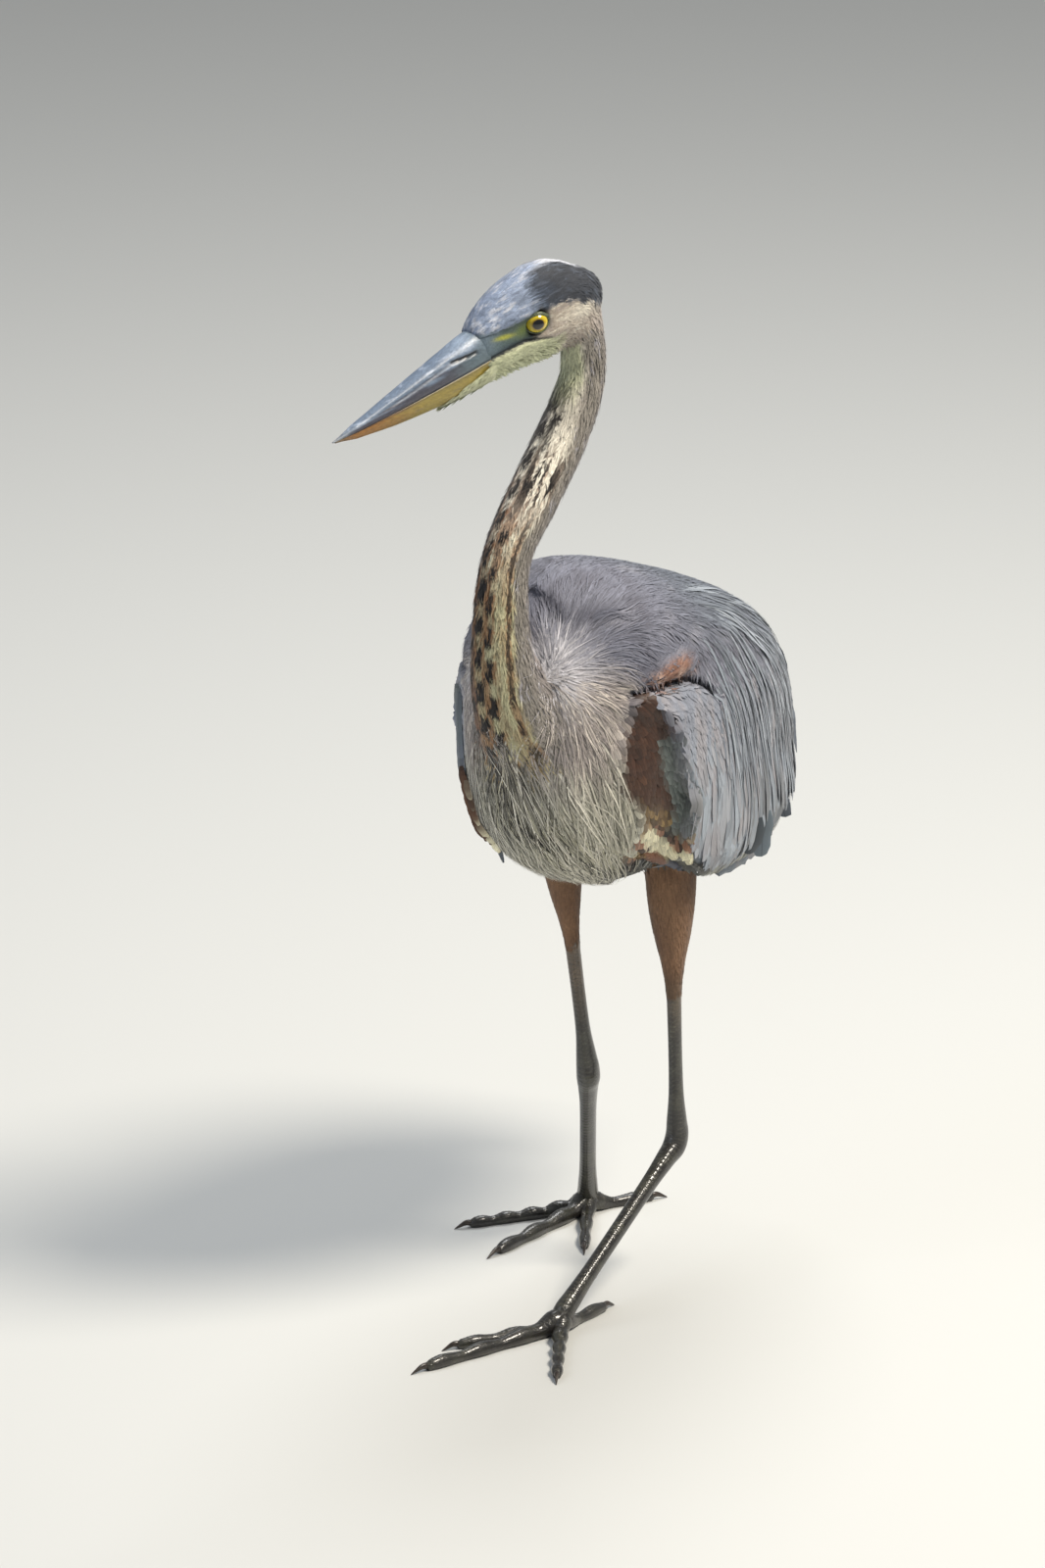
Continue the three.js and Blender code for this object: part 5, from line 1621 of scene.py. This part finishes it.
for sideName, leg in legs.items():
    knee, ankle, foot = [np.array(leg[k], float) for k in ("knee", "ankle", "foot")]
    up = unit(knee - ankle)
    down = unit(foot - ankle)
    path = [ankle + (knee - ankle) * t for t in (0.60, 0.46, 0.30, 0.16, 0.07, 0.025)]
    sizes = [(5.4, 6.0, 6.0), (5.3, 5.7, 5.7), (5.0, 5.4, 5.4), (5.4, 5.8, 6.0), (7.2, 7.8, 8.2),
             (8.2, 8.6, 9.4)]
    path += [ankle + (foot - ankle) * t for t in (0.03, 0.10, 0.25, 0.5, 0.75, 0.9, 0.97)]
    sizes += [(8.4, 8.6, 9.2), (7.2, 7.6, 8.0), (5.9, 6.5, 6.5), (5.7, 6.3, 6.3), (5.9, 6.5, 6.5),
              (6.9, 7.5, 7.5), (7.6, 8.0, 8.0)]
    path += [foot + np.array([0, 0, -3.5]) + down * 1.5, foot + np.array([0, 0, -7.5]) + down * 1.5]
    sizes += [(7.8, 7.6, 7.6), (6.8, 6.4, 6.4)]
    parts = [legTube(path, sizes, 20, floor=0.15, scute=legValues["scute"], rise=legValues["scuteRise"],
                     topSide=(0.1, -1, 0.35))]
    names = [f"shin_{sideName}", f"tarsus_{sideName}"]
    claws = []
    for toeName, (heading, length) in leg["toes"].items():
        a = math.radians(heading)
        ahead = np.array([math.sin(a), -math.cos(a), 0])
        width = legValues["toeWidth"] * (1 if toeName == "middle" else 0.9)
        path, sizes = [], []
        joints = {"middle": 3, "outer": 4, "inner": 2, "hind": 1}[toeName]
        for k in range(25):
            t = k / 24
            bump = 1.0 + 0.13 * math.cos(2 * math.pi * (t * (joints + 0.5) - 0.1))
            ball = 1 + 0.42 * max(0, 1 - 3 * t)
            w = width * ball * (1 - 0.28 * t) * bump * (1 if k < 24 else 0.8)
            p = np.array([foot[0], foot[1], 0]) + ahead * (2 + (length - 1) * t)
            p[2] = w * 0.80 + 1.5 * math.exp(-(t / 0.10) ** 2)
            path.append(p)
            sizes.append((w, w, w * 0.9))
        parts.append(legTube(path, sizes, 16, floor=0.0, scute=legValues["toeScute"], rise=0.42,
                             topSide=(0, 0, 1)))
        names.append(f"toe_{toeName}_{sideName}")
        # claw: a curved cone of dark horn
        base = np.array([foot[0], foot[1], 0]) + ahead * (length + width * 0.1)
        reach = 15 if toeName == "middle" else 13
        side = np.cross(ahead, [0, 0, 1])
        rings = []
        for k in range(15):
            t = k / 14
            r = 2.5 * (1 - t) ** 0.75 + 0.16
            z = 3.5 + 1.5 * math.sin(math.pi * min(t * 1.2, 1)) * (1 - t) - 3.1 * t ** 1.8
            centre = base + ahead * reach * t + np.array([0, 0, max(z, r + 0.12)])
            tangentUp = unit(np.array([0, 0, 1.0]) + ahead * 0.35 * t)
            b = np.arange(12) * 2 * math.pi / 12
            rings.append(centre + side * (np.cos(b) * r * 0.8)[:, None] + tangentUp
                         * (np.sin(b) * r)[:, None])
        claws.append(tube(world(np.array(rings))))
    verts, faces = joinParts([(v, f) for v, f, c in parts])
    obj = makeObject(f"Leg_{sideName}", verts, faces, None, {"tint": np.vstack([c for v, f, c in parts])})
    bm = bmesh.new()
    bm.from_mesh(obj.data)
    bmesh.ops.recalc_face_normals(bm, faces=bm.faces)
    bm.to_mesh(obj.data)
    bm.free()
    obj.data.materials.append(wetScale)
    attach(obj, "root")
    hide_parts(*names)
    verts, faces = joinParts(claws)
    claw = makeObject(f"Claws_{sideName}", verts, faces)
    outwards(claw)
    if "clawHorn" not in bpy.data.materials:
        # claw horn: black-brown keratin, satin, faintly ribbed along its length
        clawHorn, tree, shader = newMaterial("clawHorn", Roughness=0.32, IOR=1.55)
        place = addNode(tree, "ShaderNodeTexCoord")
        ribs = addNode(tree, "ShaderNodeTexNoise", {"Vector": place.outputs["Object"]},
                       {"Scale": 500.0, "Detail": 3.0})
        mixed = addNode(tree, "ShaderNodeValToRGB", {"Fac": ribs.outputs["Fac"]})
        darkStop, paleStop = mixed.color_ramp.elements[:]
        darkStop.position, darkStop.color = 0.3, (*hexColour("171412"), 1)
        paleStop.position, paleStop.color = 0.75, (*hexColour("4a4038"), 1)
        tree.links.new(mixed.outputs["Color"], shader.inputs["Base Color"])
    claw.data.materials.append(clawHorn)
    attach(claw, "root")
    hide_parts(*[f"claw_{t}_{sideName}" for t in leg["toes"]])
    print("leg", sideName)

# light, floor and camera
bpy.ops.mesh.primitive_plane_add(size=14, location=(0, 0, 0))
floor = bpy.context.object
floor.name = "StudioFloor"
material, tree, shader = newMaterial("studioPaper", Roughness=0.9)
shader.inputs["Base Color"].default_value = (*hexColour("cfd0cd"), 1)
floor.data.materials.append(material)


def areaLight(name, azimuth, elevation, distance, size, power, colour="ffffff"):
    a, e = math.radians(azimuth), math.radians(elevation)
    data = bpy.data.lights.new(name, "AREA")
    data.shape, data.size, data.energy = "DISK", size, power
    data.color = hexColour(colour)
    lamp = bpy.data.objects.new(name, data)
    out = Vector((math.sin(a) * math.cos(e), -math.cos(a) * math.cos(e), math.sin(e)))
    lamp.location = Vector((0, 0, 0.45)) + out * distance
    lamp.rotation_mode = "QUATERNION"
    lamp.rotation_quaternion = (-out).to_track_quat("-Z", "Y")
    bpy.context.scene.collection.objects.link(lamp)


areaLight("KeyLight", 92, 54, 3.0, 1.0, 112, "fff6e8")
areaLight("FillLight", -30, 30, 3.5, 2.5, 30, "e8f0ff")
areaLight("RimLight", 195, 55, 3.0, 1.5, 46)
scene = bpy.context.scene
scene.world = scene.world or bpy.data.worlds.new("World")
scene.world.use_nodes = True
background = scene.world.node_tree.nodes["Background"]
background.inputs["Color"].default_value = (*hexColour("d7dbe0"), 1)
background.inputs["Strength"].default_value = 0.40
scene.view_settings.view_transform = "Standard"

cameraValues = {"azimuth": 28, "elevation": 18, "distance": 7.4, "lens": 241.5, "target": (-19, -135, 400)}
azimuth, elevation = math.radians(cameraValues["azimuth"]), math.radians(cameraValues["elevation"])
out = Vector((math.sin(azimuth) * math.cos(elevation), -math.cos(azimuth) * math.cos(elevation),
              math.sin(elevation)))
camera = bpy.data.objects.new("Camera", bpy.data.cameras.new("Camera"))
camera.data.lens = cameraValues["lens"]
camera.data.clip_end = 60
camera.location = Vector(world(cameraValues["target"])) + out * cameraValues["distance"]
camera.rotation_mode = "QUATERNION"
camera.rotation_quaternion = (-out).to_track_quat("-Z", "Y")
scene.collection.objects.link(camera)
scene.camera = camera
